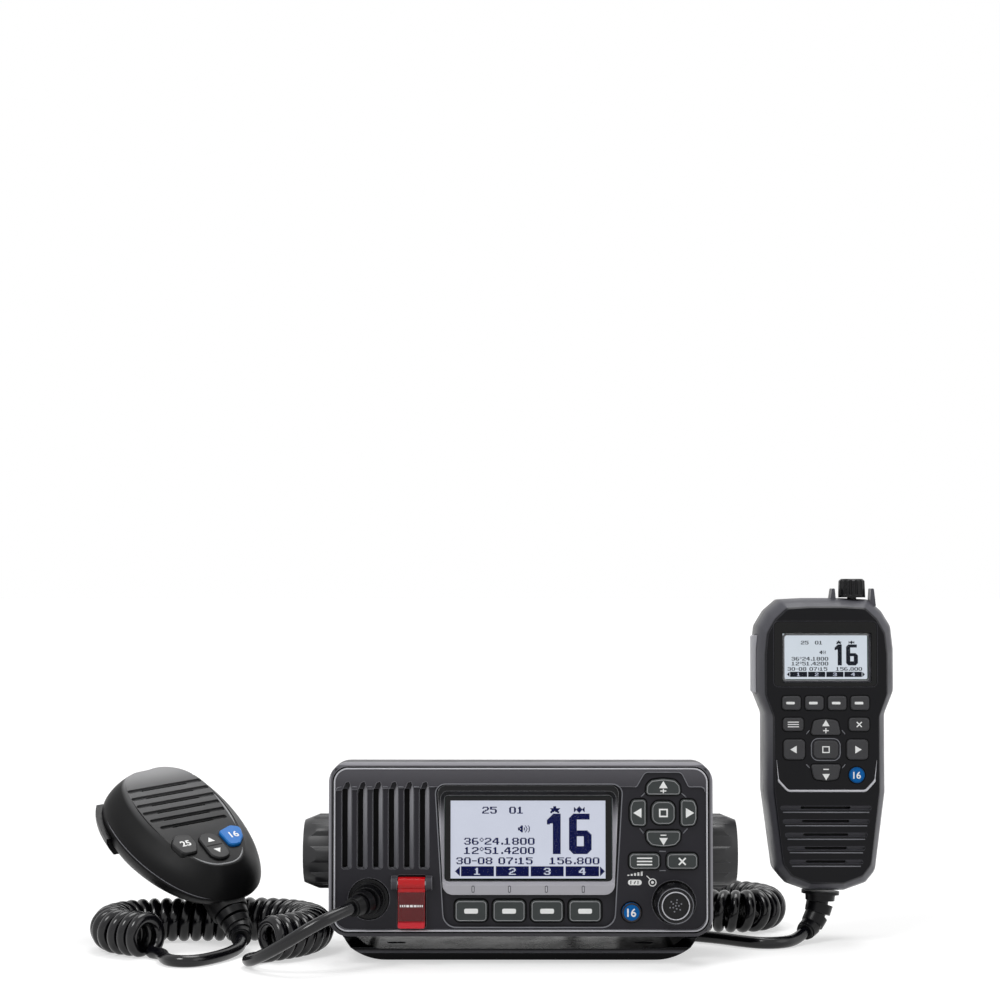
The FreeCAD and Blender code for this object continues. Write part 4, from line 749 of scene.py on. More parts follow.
def numeral_mesh(name: str, text: str, height: float, place: Matrix) -> bpy.types.Mesh:
    """Digits as a solid mesh, centred, facing -Y before their placing."""
    curve = bpy.data.curves.new(name, "FONT")
    curve.body = text
    curve.size = height * DIGIT_SIZE
    curve.extrude = PRINT / 2
    curve.align_x = "CENTER"
    curve.offset = height * DIGIT_BOLD
    mesh = taken_mesh(name, linked(name, curve))
    xs, ys = ([v.co[k] for v in mesh.vertices] for k in (0, 1))
    middle = Vector(((min(xs) + max(xs)) / 2, (min(ys) + max(ys)) / 2, 0))
    mesh.transform(Matrix.Translation(-middle))
    mesh.transform(Matrix.Rotation(math.pi / 2, 4, "X"))
    mesh.transform(Matrix.Scale(MM, 4) @ place)
    return mesh


def rectangle(left: float, right: float, low: float, high: float) -> list[Point2]:
    """Corners of an upright rectangle, counter-clockwise."""
    return [(left, low), (right, low), (right, high), (left, high)]


def pill(cx: float, cz: float, width: float, height: float, radius: float,
         steps: int = 4) -> list[Point2]:
    """Corners of a rounded rectangle."""
    corners = []
    for sx, sz, start in ((1, 1, 0), (-1, 1, 90), (-1, -1, 180), (1, -1, 270)):
        for i in range(steps + 1):
            turn = math.radians(start + 90 * i / steps)
            corners.append((cx + sx * (width / 2 - radius) + radius * math.cos(turn),
                            cz + sz * (height / 2 - radius) + radius * math.sin(turn)))
    return corners


def circle(cx: float, cz: float, radius: float, steps: int = 24) -> list[Point2]:
    """Points of a circle, counter-clockwise."""
    return pill(cx, cz, 2 * radius, 2 * radius, radius - 0.0001, steps // 4)


def triangle(cx: float, cz: float, size: float, way: str) -> list[Point2]:
    """Corners of an arrow head that points up, down, left or right."""
    a, b = size / 2, size * 0.42
    heads = {"up": [(-a, -b), (a, -b), (0, b)], "down": [(-a, b), (0, -b), (a, b)],
             "left": [(b, -a), (b, a), (-b, 0)], "right": [(-b, -a), (b, 0), (-b, a)]}
    return [(cx + x, cz + z) for x, z in heads[way]]


def stroke(a: Point2, b: Point2, width: float) -> list[Point2]:
    """Corners of a straight bar between two points, counter-clockwise."""
    a, b = Vector(a), Vector(b)
    way = (b - a).normalized() * width / 2
    side = Vector((-way.y, way.x))
    return [tuple(p) for p in (a - side, b - side, b + side, a + side)]


def frame_bars(left: float, right: float, low: float, high: float,
               line: float) -> list[list[Point2]]:
    """The four bars of a hollow rectangle."""
    return [rectangle(left, right, high - line, high), rectangle(left, right, low, low + line),
            rectangle(left, left + line, low + line, high - line),
            rectangle(right - line, right, low + line, high - line)]


def menu_bars(left: float, right: float, middle: float, step: float,
              half: float) -> list[list[Point2]]:
    """Three bars above each other."""
    return [rectangle(left, right, middle + k - half, middle + k + half) for k in (-step, 0, step)]


def cross(left: float, low: float, size: float, gap: Point2, width: float) -> list[list[Point2]]:
    """A slanted cross; its second arm leaves a gap where the first one passes."""
    right, high = left + size, low + size
    near, far = gap
    return [stroke((left, low), (right, high), width),
            stroke((left, high), (left + near, high - near), width),
            stroke((left + far, high - far), (right, low), width)]


# ------------------------------------------------------------------ display pixels
GLYPHS = {
    "0": "0111110 1100011 1100011 1100011 1100011 1100011 0111110",
    "1": "0011000 0111000 0011000 0011000 0011000 0011000 1111110",
    "2": "0111110 1100011 0000011 0001110 0111000 1100000 1111111",
    "3": "0111110 1100011 0000011 0011110 0000011 1100011 0111110",
    "4": "0001110 0011110 0110110 1100110 1111111 0000110 0000110",
    "5": "1111111 1100000 1111110 0000011 0000011 1100011 0111110",
    "6": "0111110 1100000 1100000 1111110 1100011 1100011 0111110",
    "7": "1111111 0000011 0000110 0001100 0011000 0011000 0011000",
    "8": "0111110 1100011 1100011 0111110 1100011 1100011 0111110",
    "9": "0111110 1100011 1100011 0111111 0000011 0000011 0111110",
    ".": "000 000 000 000 000 011 011",
    ":": "000 011 011 000 011 011 000",
    "-": "00000 00000 00000 11111 00000 00000 00000",
    "o": "0110 1001 1001 0110 0000 0000 0000",
    " ": "0000 0000 0000 0000 0000 0000 0000",
    "*": "00001110000 00001110000 01111111111 00111111110 00111111100 01111011110 01100000110",
    "~": "00000100000 10001110001 11011111011 11111111111 11011111011 10001110001 00000100000",
    ")": "000110010010 001110001001 111110101001 110110100101 "
         "111110101001 001110001001 000110010010",
}


def glyph_points(text: str, left: float, low: float, pitch: float) -> list[Point2]:
    """Pixel centres of a line of digits and signs.

    Args:
        text: What it shows.
        left: Left side of the first cell.
        low: Bottom of the line.
        pitch: Distance between columns, and between rows.

    Returns:
        The centre of each dark pixel.
    """
    points = []
    for sign in text:
        rows = GLYPHS[sign].split()
        for r, row in enumerate(rows):
            for c, on in enumerate(row):
                if on == "1":
                    points.append((left + (c + 0.5) * pitch, low + (len(rows) - r - 0.5) * pitch))
        left += (len(rows[0]) + 1) * pitch
    return points


def big_number_points(left: float, low: float, high: float, width_one: float, width_six: float,
                      gap: float, pitch: float) -> list[Point2]:
    """Pixel centres of the large 16 of the display.

    Args:
        left: Left side of the 1.
        low: Foot of the figures.
        high: Top of the figures.
        width_one: Width of the 1.
        width_six: Width of the 6.
        gap: Space between them.
        pitch: Size of a pixel.

    Returns:
        The centre of each dark pixel.
    """
    rows = round((high - low) / pitch)
    bold = round(rows * 0.187)
    one = round(width_one / pitch)
    six = round(width_six / pitch)
    start = left + width_one + gap
    mid = round(rows * 0.58)
    points = []
    for r in range(rows):
        down = rows - 1 - r
        for c in range(one):
            off = one - bold - c
            if off <= 0 or off * 0.9 <= down <= off * 0.35 + bold * 1.1:
                points.append((left + (c + 0.5) * pitch, low + (r + 0.5) * pitch))
        upper = r >= mid
        bar = r < bold or r >= rows - bold * 0.86 or mid - bold * 0.86 <= r < mid
        for c in range(six):
            right = six - 1 - c
            cut = (c + min(r, down) < bold * 0.45 or (upper and right < bold * 0.25)
                   or (not upper and right + min(r, mid - 1 - r) < bold * 0.45))
            if not cut and (bar or c < bold or (right < bold and not upper)):
                points.append((start + (c + 0.5) * pitch, low + (r + 0.5) * pitch))
    return points


@dataclass
class Screen:
    """What one display shows; sizes in millimetres, in the plane of its glass."""

    name: str
    body: str
    slot: str
    depth: float
    left: float
    low: float
    width: float
    ink: Finish

    def at(self, points: Iterable[Point2], lift: float) -> list[Vector]:
        """Points of the display plane, lifted towards the front."""
        return [Vector((x, self.depth - lift, z)) for x, z in points]

    def build(self, shop: Workshop) -> None:
        """Makes the figures, bars and signs.

        Args:
            shop: Where pieces are made.
        """
        unit = self.width / 162
        cell = unit * 0.99
        x0, z0 = self.left, self.low
        dark = big_number_points(x0 + 100.5 * unit, z0 + 25 * unit, z0 + 66 * unit,
                                 14.5 * unit, 23 * unit, 8 * unit, unit)
        rows = (("25", 34.5, 66), ("01", 62, 66), (")", 71, 47), ("36o24.1800", 16, 34.5),
                ("12o51.4200", 16, 25), ("30-08 07:15", 8, 14.6), ("156.800", 103, 14.6),
                ("*", 103, 66.5), ("~", 128, 66.5))
        for text, left, low in rows:
            dark += glyph_points(text, x0 + left * unit, z0 + low * unit, unit)
        for i in range(5):
            for column in (11.4 - i, 155 + i):
                dark += [(x0 + column * unit, z0 + (7.5 + k) * unit) for k in range(i - 4, 5 - i)]
        shop.stamped(self.name + "_figures", self.at(dark, 0.03), (cell, 0.06, cell), self.ink,
                     self.body, self.slot)
        bars, numbers = [], []
        for i, (left, right) in enumerate(((13, 46.5), (48.5, 82), (84, 117.5), (119.5, 153.5))):
            bars.append(rectangle(x0 + left * unit, x0 + right * unit, z0 + 2.5 * unit,
                                  z0 + 12.6 * unit))
            numbers += glyph_points(str(i + 1), x0 + ((left + right) / 2 - 3.5) * unit,
                                    z0 + 4 * unit, unit)
        mesh = plate_mesh(self.name + "_bars", bars, 0.05,
                          Matrix.Translation((0, self.depth - 0.05, 0)))
        shop.piece(self.name + "_bars", mesh, self.ink, self.body, self.slot)
        shop.stamped(self.name + "_bar_numbers", self.at(numbers, 0.08), (unit, 0.06, unit),
                     PALE_PIXELS, self.body, self.slot)


# ------------------------------------------------------------------ cords
@dataclass
class CurlyCord:
    """A cord with straight ends and a curly middle, all points in millimetres."""

    name: str
    lead: list[Point3]
    coil: list[Point3]
    tail: list[Point3]
    replaced: tuple[str, ...]
    blend_to: tuple[str, Point3, Point3]
    radius: float = 2.5
    coil_radius: float = 9.4
    pitch: float = 5.1
    turn_steps: int = 16
    start_angle: float = -90.0

    @staticmethod
    def spline(name: str, points: Sequence[Vector], bevel: float = 0.0) -> bpy.types.Object:
        """A curve object with one smooth spline through control points in metres."""
        curve = bpy.data.curves.new(name, "CURVE")
        curve.dimensions = "3D"
        curve.resolution_u = 4 if bevel else 12
        curve.bevel_depth = bevel
        curve.bevel_resolution = 5
        curve.use_fill_caps = bool(bevel)
        line = curve.splines.new("NURBS")
        line.points.add(len(points) - 1)
        for control, place in zip(line.points, points):
            control.co = (*place, 1.0)
        line.order_u = 3
        line.use_endpoint_u = True
        return linked(name, curve)

    @classmethod
    def sampled(cls, name: str, points: Sequence[Vector]) -> list[Vector]:
        """Points along the smooth line of a route."""
        mesh = taken_mesh(name, cls.spline(name, points))
        line = [v.co.copy() for v in mesh.vertices]
        bpy.data.meshes.remove(mesh)
        return line

    def helix(self) -> list[Vector]:
        """Control points of the turns, wound round the line of the coil."""
        line = self.sampled(self.name + "_axis", [Vector(p) * MM for p in self.coil])
        gone = [0.0]
        for a, b in zip(line, line[1:]):
            gone.append(gone[-1] + (b - a).length)
        turns = round(gone[-1] / (self.pitch * MM))
        count = turns * self.turn_steps
        reach = (self.coil_radius - self.radius) * MM / math.cos(math.pi / self.turn_steps)
        up = Vector((0, 0, 1))
        points = []
        index = 0
        for i in range(count + 1):
            at = gone[-1] * i / count
            while index < len(line) - 2 and gone[index + 1] < at:
                index += 1
            share = (at - gone[index]) / (gone[index + 1] - gone[index])
            here = line[index].lerp(line[index + 1], share)
            way = line[min(index + 4, len(line) - 1)] - line[max(index - 3, 0)]
            side = way.normalized().cross(up).normalized()
            turn = math.radians(self.start_angle) + 2 * math.pi * i / self.turn_steps
            points.append(here + (side * math.cos(turn) + up * math.sin(turn)) * reach)
        return points

    def build(self, shop: Workshop) -> None:
        """Makes the whole cord as one tube.

        Args:
            shop: Where pieces are made.
        """
        lead, tail = ([Vector(p) * MM for p in points] for points in (self.lead, self.tail))
        route = lead + self.helix() + tail
        path = self.sampled(self.name + "_line", route)
        mesh = taken_mesh(self.name, self.spline(self.name + "_tube", route, self.radius * MM))
        for polygon in mesh.polygons:
            polygon.use_smooth = True
        obj = linked(self.name, mesh)
        mesh.materials.clear()
        mesh.materials.append(shop.paints.get(CORD_JACKET))
        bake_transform(obj)
        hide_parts(*self.replaced)


FLOOR = 2.55        # height of a straight run that lies on the floor
LAID = 9.4          # height of the line of a coil that lies on it
MIC_CORD = CurlyCord(
    "hand_mic_cord",
    lead=[(-68.0, -48.5, 25.4), (-73.7, -55.5, 23.9), (-83.5, -59.5, 19.2), (-94.0, -58.0, 12.6),
          (-103.5, -51.5, 6.8), (-110.0, -42.5, 3.4), (-111.0, -32.5, 2.7)],
    coil=[(-104.0, -24.0, LAID), (-95.0, -15.0, LAID), (-88.0, -2.0, LAID), (-88.5, 14.0, LAID),
          (-97.5, 27.0, LAID), (-112.0, 33.5, LAID), (-127.0, 32.9, LAID), (-142.0, 31.5, LAID),
          (-157.0, 31.4, LAID), (-169.5, 24.5, LAID), (-174.5, 11.5, LAID), (-171.0, -1.5, LAID),
          (-162.5, -8.5, LAID), (-154.0, -14.0, LAID)],
    tail=[(-147.5, -19.2, FLOOR), (-146.0, -29.5, FLOOR), (-141.0, -37.5, FLOOR),
          (-132.5, -38.0, FLOOR), (-126.0, -29.5, FLOOR), (-120.8, -18.0, FLOOR),
          (-116.8, -5.7, 3.5), (-117.8, 1.0, 5.6)],
    replaced=("hand_mic_cord_lead", "hand_mic_cord_coil", "hand_mic_cord_tail"),
    blend_to=("radio", (-70.0, -50.0, 25.0), (-108.0, -40.0, 4.0)))
SET_CORD = CurlyCord(
    "handset_cord",
    lead=[(123.0, 25.5, 5.0), (119.22, 20.64, 2.66), (112.5, 12.0, FLOOR), (103.5, 10.0, FLOOR),
          (95.0, 15.5, FLOOR), (86.0, 24.5, FLOOR), (74.0, 32.0, FLOOR), (62.0, 40.5, FLOOR),
          (55.0, 52.5, FLOOR), (59.5, 65.0, FLOOR), (71.5, 66.2, FLOOR)],
    coil=[(84.0, 60.0, LAID), (95.0, 56.0, LAID), (107.0, 60.0, LAID), (113.0, 73.0, LAID),
          (107.5, 87.0, LAID), (94.0, 94.5, LAID), (78.0, 95.5, LAID), (62.0, 94.0, LAID),
          (46.0, 95.5, LAID)],
    tail=[(35.5, 96.4, 2.6), (27.0, 98.0, 8.6), (22.6, 96.5, 18.5), (22.0, 88.5, 29.6),
          (22.0, 77.0, 30.0)],
    replaced=("handset_cord_lead", "handset_cord_coil", "handset_cord_tail"),
    blend_to=("radio", (22.0, 80.0, 30.0), (36.0, 96.5, 3.0)))


# ------------------------------------------------------------------ studio
@dataclass
class Studio:
    """Camera, floor and lamps."""

    camera_at: Point3 = (-5.646, -967.05, 153.39)
    pitch: float = 0.0388
    yaw: float = 0.003
    lens: float = 82.064
    sensor: float = 36.0
    around: float = 0.42
    floor_half: float = 30.0
    floor_glow: float = 0.56

    def build(self) -> None:
        """Sets the stage round the object."""
        scene = bpy.context.scene
        scene.view_settings.view_transform = "Standard"
        data = bpy.data.cameras.new("camera")
        data.lens = self.lens
        data.sensor_width = self.sensor
        data.clip_start = 0.01
        scene.camera = linked("camera", data)
        scene.camera.location = Vector(self.camera_at) * MM
        scene.camera.rotation_euler = (math.pi / 2 + self.pitch, 0, self.yaw)
        self.make_floor()
        self.make_world()
        self.make_sun("key_sun", (-0.55, -0.75, 1.15), 1.2, 20)
        self.make_sun("top_sun", (0.12, 0.2, 1.0), 1.4, 34)
        self.make_sun("side_sun", (0.9, -0.5, 0.5), 0.35, 40)

    @staticmethod
    def seen(graph: Graph) -> bpy.types.NodeSocket:
        """1 for a ray from the camera, a reflection or glass."""
        ray = graph.add("ShaderNodeLightPath").outputs
        first = graph.maths("MAXIMUM", ray["Is Camera Ray"], ray["Is Glossy Ray"])
        return graph.maths("MAXIMUM", first, ray["Is Transmission Ray"])

    def make_floor(self) -> None:
        """A wide pale floor that shows white to the camera and keeps soft shadows."""
        half = self.floor_half
        mesh = bpy.data.meshes.new("floor")
        mesh.from_pydata([(-half, -half, 0), (half, -half, 0), (half, half, 0), (-half, half, 0)],
                         [], [(0, 1, 2, 3)])
        material = bpy.data.materials.new("pale_floor")
        material.use_nodes = True
        nodes = material.node_tree.nodes
        graph = Graph(material.node_tree)
        pale = nodes["Principled BSDF"]
        graph.put((0.62, 0.62, 0.62, 1), pale.inputs["Base Color"])
        graph.put(0.9, pale.inputs["Roughness"])
        graph.put(0.1, pale.inputs["Specular IOR Level"])
        matt = graph.add("ShaderNodeBsdfDiffuse", {"Color": (0.5, 0.5, 0.5, 1)})
        lit = graph.add("ShaderNodeEmission", {"Color": (1, 1, 1, 1), "Strength": self.floor_glow})
        white = graph.add("ShaderNodeAddShader", {0: matt.outputs[0], 1: lit.outputs[0]})
        chosen = graph.add("ShaderNodeMixShader",
                           {0: self.seen(graph), 1: pale.outputs[0], 2: white.outputs[0]})
        graph.put(chosen.outputs[0], nodes["Material Output"].inputs[0])
        mesh.materials.append(material)
        linked("floor", mesh)

    def make_world(self) -> None:
        """Plain light all round, white to the camera and in reflections."""
        world = bpy.data.worlds.new("studio")
        bpy.context.scene.world = world
        world.use_nodes = True
        graph = Graph(world.node_tree)
        back = world.node_tree.nodes["Background"].inputs
        graph.put((1, 1, 1, 1), back["Color"])
        graph.put(graph.ramp(self.seen(graph), 0.0, 1.0, self.around, 1.0), back["Strength"])

    @staticmethod
    def make_sun(name: str, source: Point3, strength: float, spread: float) -> None:
        """A soft distant lamp that shines from a direction, its spread in degrees."""
        data = bpy.data.lights.new(name, "SUN")
        data.energy = strength
        data.angle = math.radians(spread)
        away = -Vector(source)
        linked(name, data).rotation_euler = away.to_track_quat("-Z", "Y").to_euler()


# ------------------------------------------------------------------ sub-assemblies
PLAIN_KEYS = ("up_key", "down_key", "left_key", "right_key", "enter_key", "menu_key", "clear_key")
SOFT_KEYS = tuple("soft_key_%d" % i for i in range(1, 5))


def dense(path: Sequence[Point2], step: float) -> list[Point2]:
    """A closed path with no run longer than a step."""
    out = []
    for a, b in zip(map(Vector, path), map(Vector, [*path[1:], path[0]])):
        runs = max(1, math.ceil((b - a).length / step))
        out += [tuple(a.lerp(b, k / runs)) for k in range(runs)]
    return out


def hull(points: Iterable[Point2]) -> list[Point2]:
    """The convex outline round points, counter-clockwise."""
    ordered = sorted(set(points))
    chains = []
    for run in (ordered, ordered[::-1]):
        chain: list[Point2] = []
        for p in run:
            while len(chain) > 1 and ((chain[-1][0] - chain[-2][0]) * (p[1] - chain[-2][1])
                                      <= (chain[-1][1] - chain[-2][1]) * (p[0] - chain[-2][0])):
                chain.pop()
            chain.append(p)
        chains += chain[:-1]
    return chains


def front_outlines(node: str, deepest: float) -> list[list[Point2]]:
    """Outlines of a node's solids in front of a plane, in millimetres.

    Args:
        node: A CAD node that faces -Y.
        deepest: Nothing behind this Y counts.

    Returns:
        One outline for each solid.
    """
    shape = bmesh.new()
    shape.from_mesh(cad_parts[node].data)
    bmesh.ops.remove_doubles(shape, verts=shape.verts, dist=WELD)
    left = dict.fromkeys(shape.verts)  # keeps its order, so each run finds the solids alike
    found = []
    while left:
        queue = [left.popitem()[0]]
        solid = []
        while queue:
            vert = queue.pop()
            solid.append(vert.co / MM)
            for edge in vert.link_edges:
                other = edge.other_vert(vert)
                if other in left:
                    del left[other]
                    queue.append(other)
        seen = [(round(p.x, 3), round(p.z, 3)) for p in solid if p.y < deepest]
        if len(seen) > 4:
            found.append(hull(seen))
    shape.free()
    return found


@dataclass
class Assembly:
    """A sub-assembly, whose marks and beads are drawn in X and Z round the origin of its face."""

    shop: Workshop
    origin: Point3 = (0.0, 0.0, 0.0)
    body: str = "stand"

    def place(self, depth: float) -> Matrix:
        """From a drawing at a depth behind the face to the part's frame."""
        x, y, z = self.origin
        return Matrix.Translation((x, y + depth, z))

    def outlines(self, nodes: Iterable[str], depth: float) -> list[list[Point2]]:
        """Outlines of all solids of some nodes in front of a depth."""
        x0, y0, z0 = self.origin
        return [[(x - x0, z - z0) for x, z in path]
                for node in nodes for path in front_outlines(node, y0 + depth)]

    def mark(self, name: str, outlines: Sequence[Sequence[Point2]], depth: float, body: str,
             finish: Finish = WHITE) -> None:
        """A thin flat mark on a surface at a depth: print, or painted light and shade."""
        mesh = plate_mesh(name, outlines, PRINT, self.place(depth - PRINT))
        self.shop.piece(name, mesh, finish, body, "key_rubber")

    def number(self, name: str, text: str, height: float, at: Point2, depth: float, body: str,
               slot: str = "key_rubber") -> None:
        """Printed digits, their middle at a point."""
        place = self.place(depth) @ Matrix.Translation((at[0], 0, at[1]))
        self.shop.piece(name, numeral_mesh(name, text, height, place), WHITE, body, slot)

    def bead(self, name: str, paths: Sequence, profile: Sequence[Point2], finish: Finish,
             depth: float = 0.0, body: Optional[str] = None, **options) -> None:
        """A bead or a groove; options go to bead_mesh."""
        mesh = bead_mesh(name, paths, profile, self.place(depth), **options)
        self.shop.piece(name, mesh, finish, body or self.body, "charcoal_plastic")


@dataclass
class Radio(Assembly):
    """The radio with its bracket; its face has u to the right and v up from its middle."""

    origin: Point3 = (0.0, FACE_Y, FACE_Z)
    body: str = "radio"
    cap: float = -0.9
    soft_cap: float = 0.5
    field: float = 0.8
    bay: float = 2.6
    knob: Point2 = (62.3, -21.4)
    knob_front: float = -9.8
    channel: Point2 = (45.0, -25.3)
    step_v: float = 25.5
    slots: int = 6
    slot_first: float = -70.9
    slot_pitch: float = 6.32

    def build(self) -> None:
        """Dresses the radio's nodes and adds its marks."""
        for finish, nodes in (
                (BRACKET_PAINT, "bracket"), (CASE, "rear_chassis"), (CHARCOAL, "front_panel"),
                (BLACK_RUBBER, "case_seal microphone_cord_boot"), (SILVER, "display_frame"),
                (WINDOW, "display_window"), (LCD, "lcd_panel"),
                (BOARD, "control_board main_board"), (CONE, "speaker"),
                (STEEL, "volume_encoder case_screws cover_hinge_pin"), (NICKEL, "rear_sockets"),
                (KEYS, " ".join(SOFT_KEYS + PLAIN_KEYS)), (BLUE, "channel_key"),
                (RED_KEY, "distress_key"), (RED_CLEAR, "distress_cover"),
                (KNOB, "volume_knob"), (CLAMP, "left_clamp_knob right_clamp_knob")):
            self.shop.dress(finish, nodes)
        self.make_key_marks()
        self.make_surrounds()
        self.make_rim()
        self.make_rear_frame()
        self.make_step_lines()
        self.make_grille()
        self.make_frame_ticks()
        self.make_volume_marks()
        self.make_cover_marks()

    def make_key_marks(self) -> None:
        """Dashes, arrow heads, signs and the number of the calling channel."""
        for i, node in enumerate(SOFT_KEYS):
            self.mark(node + "_dash", [pill(-20.2 + i * 15.447, -24.9, 5.6, 2.0, 0.6)],
                      self.soft_cap, node)
        for way, u, v, size in (("up", 58.0, 26.5, 3.5), ("down", 58.0, 3.4, 3.5),
                                ("left", 47.4, 15.0, 4.0), ("right", 68.8, 15.0, 4.0)):
            self.mark(way + "_key_arrow", [triangle(u, v, size, way)], self.cap, way + "_key")
        for node, v, sides in (("up_key", 23.9, (-1, 1)), ("down_key", 6.0, ())):
            bars = [rectangle(56.8, 59.2, v - 0.22, v + 0.22)]
            bars += [rectangle(57.78, 58.22, v + s * 0.56 - 0.34, v + s * 0.56 + 0.34)
                     for s in sides]
            self.mark(node + "_sign", bars, self.cap, node)
        self.mark("enter_key_square", frame_bars(56.2, 59.8, 13.3, 16.7, 0.6), self.cap,
                  "enter_key")
        self.mark("menu_key_bars", menu_bars(47.2, 53.4, -4.6, 1.3, 0.28), self.cap, "menu_key")
        self.mark("clear_key_cross", cross(64.2, -6.0, 2.8, (1.15, 1.65), 0.65), self.cap,
                  "clear_key")
        # Pale lines round each key's top: painted highlights on their edges.
        for node in PLAIN_KEYS + SOFT_KEYS:
            depth = self.soft_cap if node in SOFT_KEYS else self.cap
            self.bead(node + "_edge", self.outlines([node], depth + 0.05),
                      round_profile(0.17, -0.07), RIDGE_GREY, depth, node)
        self.number("channel_key_number", "16", 3.2, self.channel, self.cap - 0.02, "channel_key",
                    "blue_key")
        self.bead("channel_key_collar", [circle(*self.channel, 3.6, 32)],
                  flat_profile(-0.4, 0.3, 0.0, 0.08), COLLAR, self.cap, "channel_key")

    def make_surrounds(self) -> None:
        """Painted shade round the keys (dark flat rings in their gaps), and the short ridges
        between them.
        """
        self.bead("key_moats", self.outlines((*PLAIN_KEYS, "channel_key"), self.field),
                  flat_profile(0.12, 0.6), DARK_LINE, self.field)
        self.bead("soft_key_moats", self.outlines(SOFT_KEYS, self.bay), flat_profile(0.12, 0.7),
                  DARK_LINE, self.bay)
        ridges = [[(49.0, 21.4), (50.6, 22.9)], [(65.4, 22.9), (67.4, 21.2)],
                  [(48.4, 8.6), (50.1, 6.6)], [(66.1, 6.6), (67.9, 8.6)]]
        self.bead("key_ridges", ridges, round_profile(0.24), GREY_LINE, self.field, closed=False)
        self.mark("key_dashes", [rectangle(56.4, 59.0, v - 0.22, v + 0.22) for v in (-0.7, -8.5)],
                  self.field, "radio", GREY_LINE)

    def make_rim(self) -> None:
        """Painted shade in the groove, and a bright bead round the face whose pale colour is a
        painted highlight.
        """
        groove = rounded(rectangle(-76.4, 76.4, -33.45, 33.45), 6.15, 10)
        self.bead("face_groove_shade", [groove], flat_profile(-0.3, 0.3, -0.02, 0.05), DARK_LINE)
        bead = rounded(rectangle(-75.8, 75.8, -32.85, 32.85), 5.55, 10)
        self.bead("face_highlight_bead", [bead], round_profile(0.34, -0.08), BRIGHT_LINE)

    def make_rear_frame(self) -> None:
        """The strips that close the front panel round the case, seen from behind."""
        strips = [rectangle(-75.7, 75.7, 27.4, 32.8), rectangle(-75.7, -71.9, -32.8, 27.4),
                  rectangle(71.9, 75.7, -32.8, 27.4)]
        mesh = plate_mesh("panel_rear_frame", strips, 0.8, self.place(16.0))
        self.shop.piece("panel_rear_frame", mesh, CASE, "radio", "charcoal_plastic")

    def make_step_lines(self) -> None:
        """Thin pale lines along the step of the face and round the display's bay: painted
        highlights on those edges.
        """
        v = self.step_v
        first, pitch, last = self.slot_first, self.slot_pitch, self.slots - 1
        paths = [[(-75.5, v - 1.3), (-74.6, v - 0.4), (first - 2.1, v)]]
        paths += [[(first + i * pitch + 2.1, v), (first + i * pitch + 4.2, v)]
                  for i in range(last)]
        paths.append([(first + last * pitch + 2.1, v), (-35.2, v)])
        arch = rounded([(41.6, 20.0), (41.6, v), (47.2, v), (50.6, 31.4), (65.4, 31.4), (68.3, v),
                        (75.0, v), (75.0, 10.0)], [0.1, 0.4, 1.2, 2.4, 2.4, 1.2, 2.0, 0.1])
        paths.append([p for p in arch if p[0] > 42.0 and p[1] > 10.5])
        self.bead("step_highlight_lines", paths, round_profile(0.17), GREY_LINE, closed=False)
        bay = dense(rounded([(-31.4, -31.6), (38.2, -31.6), (41.6, 26.6), (-35.0, 26.6)],
                            [5.5, 5.5, 4.0, 4.0]), 0.8)
        lifted = [(x, z, -self.field * min(1.0, max(0.0, v - z))) for x, z in bay]
        self.bead("bay_highlight_bead", [lifted], round_profile(0.26, -0.05), GREY_LINE)

    def make_grille(self) -> None:
        """The cloth behind the slots and the slanted louvre in each, whose pale grey is a painted
        highlight.
        """
        self.mark("grille_cloth", [rectangle(-74.0, -37.0, -9.0, 26.0)], 4.6, "radio", DARK_LINE)
        shape = bmesh.new()
        low, high, tip = -7.6, 23.4, 26.9
        section = ((0.25, 2.38), (1.92, 2.38), (1.92, 0.75))
        ends = [[shape.verts.new((u, d, v)) for u, d in section] for v in (low, high)]
        top = shape.verts.new((1.5, 1.4, tip))
        for k in range(3):
            m = (k + 1) % 3
            shape.faces.new((ends[0][k], ends[0][m], ends[1][m], ends[1][k]))
            shape.faces.new((ends[1][k], ends[1][m], top))
        shape.faces.new(ends[0])
        place = self.place(0) @ Matrix.Translation((self.slot_first, 0, 0))
        self.shop.row("grille_louvres", placed_mesh("louvre", shape, place), self.slots,
                      (self.slot_pitch, 0, 0), MID_GREY, "radio", "charcoal_plastic")

    def make_frame_ticks(self) -> None:
        """A small slot in the frame above each soft key."""
        places = (-19.4, -4.6, 10.4, 25.4)
        self.mark("frame_slots", [pill(u, -16.0, 1.2, 2.9, 0.5) for u in places], 0.5, "radio",
                  MID_GREY)
        self.mark("frame_slot_cores", [pill(u, -16.0, 0.5, 2.1, 0.22) for u in places], 0.46,
                  "radio", BRIGHT_LINE)

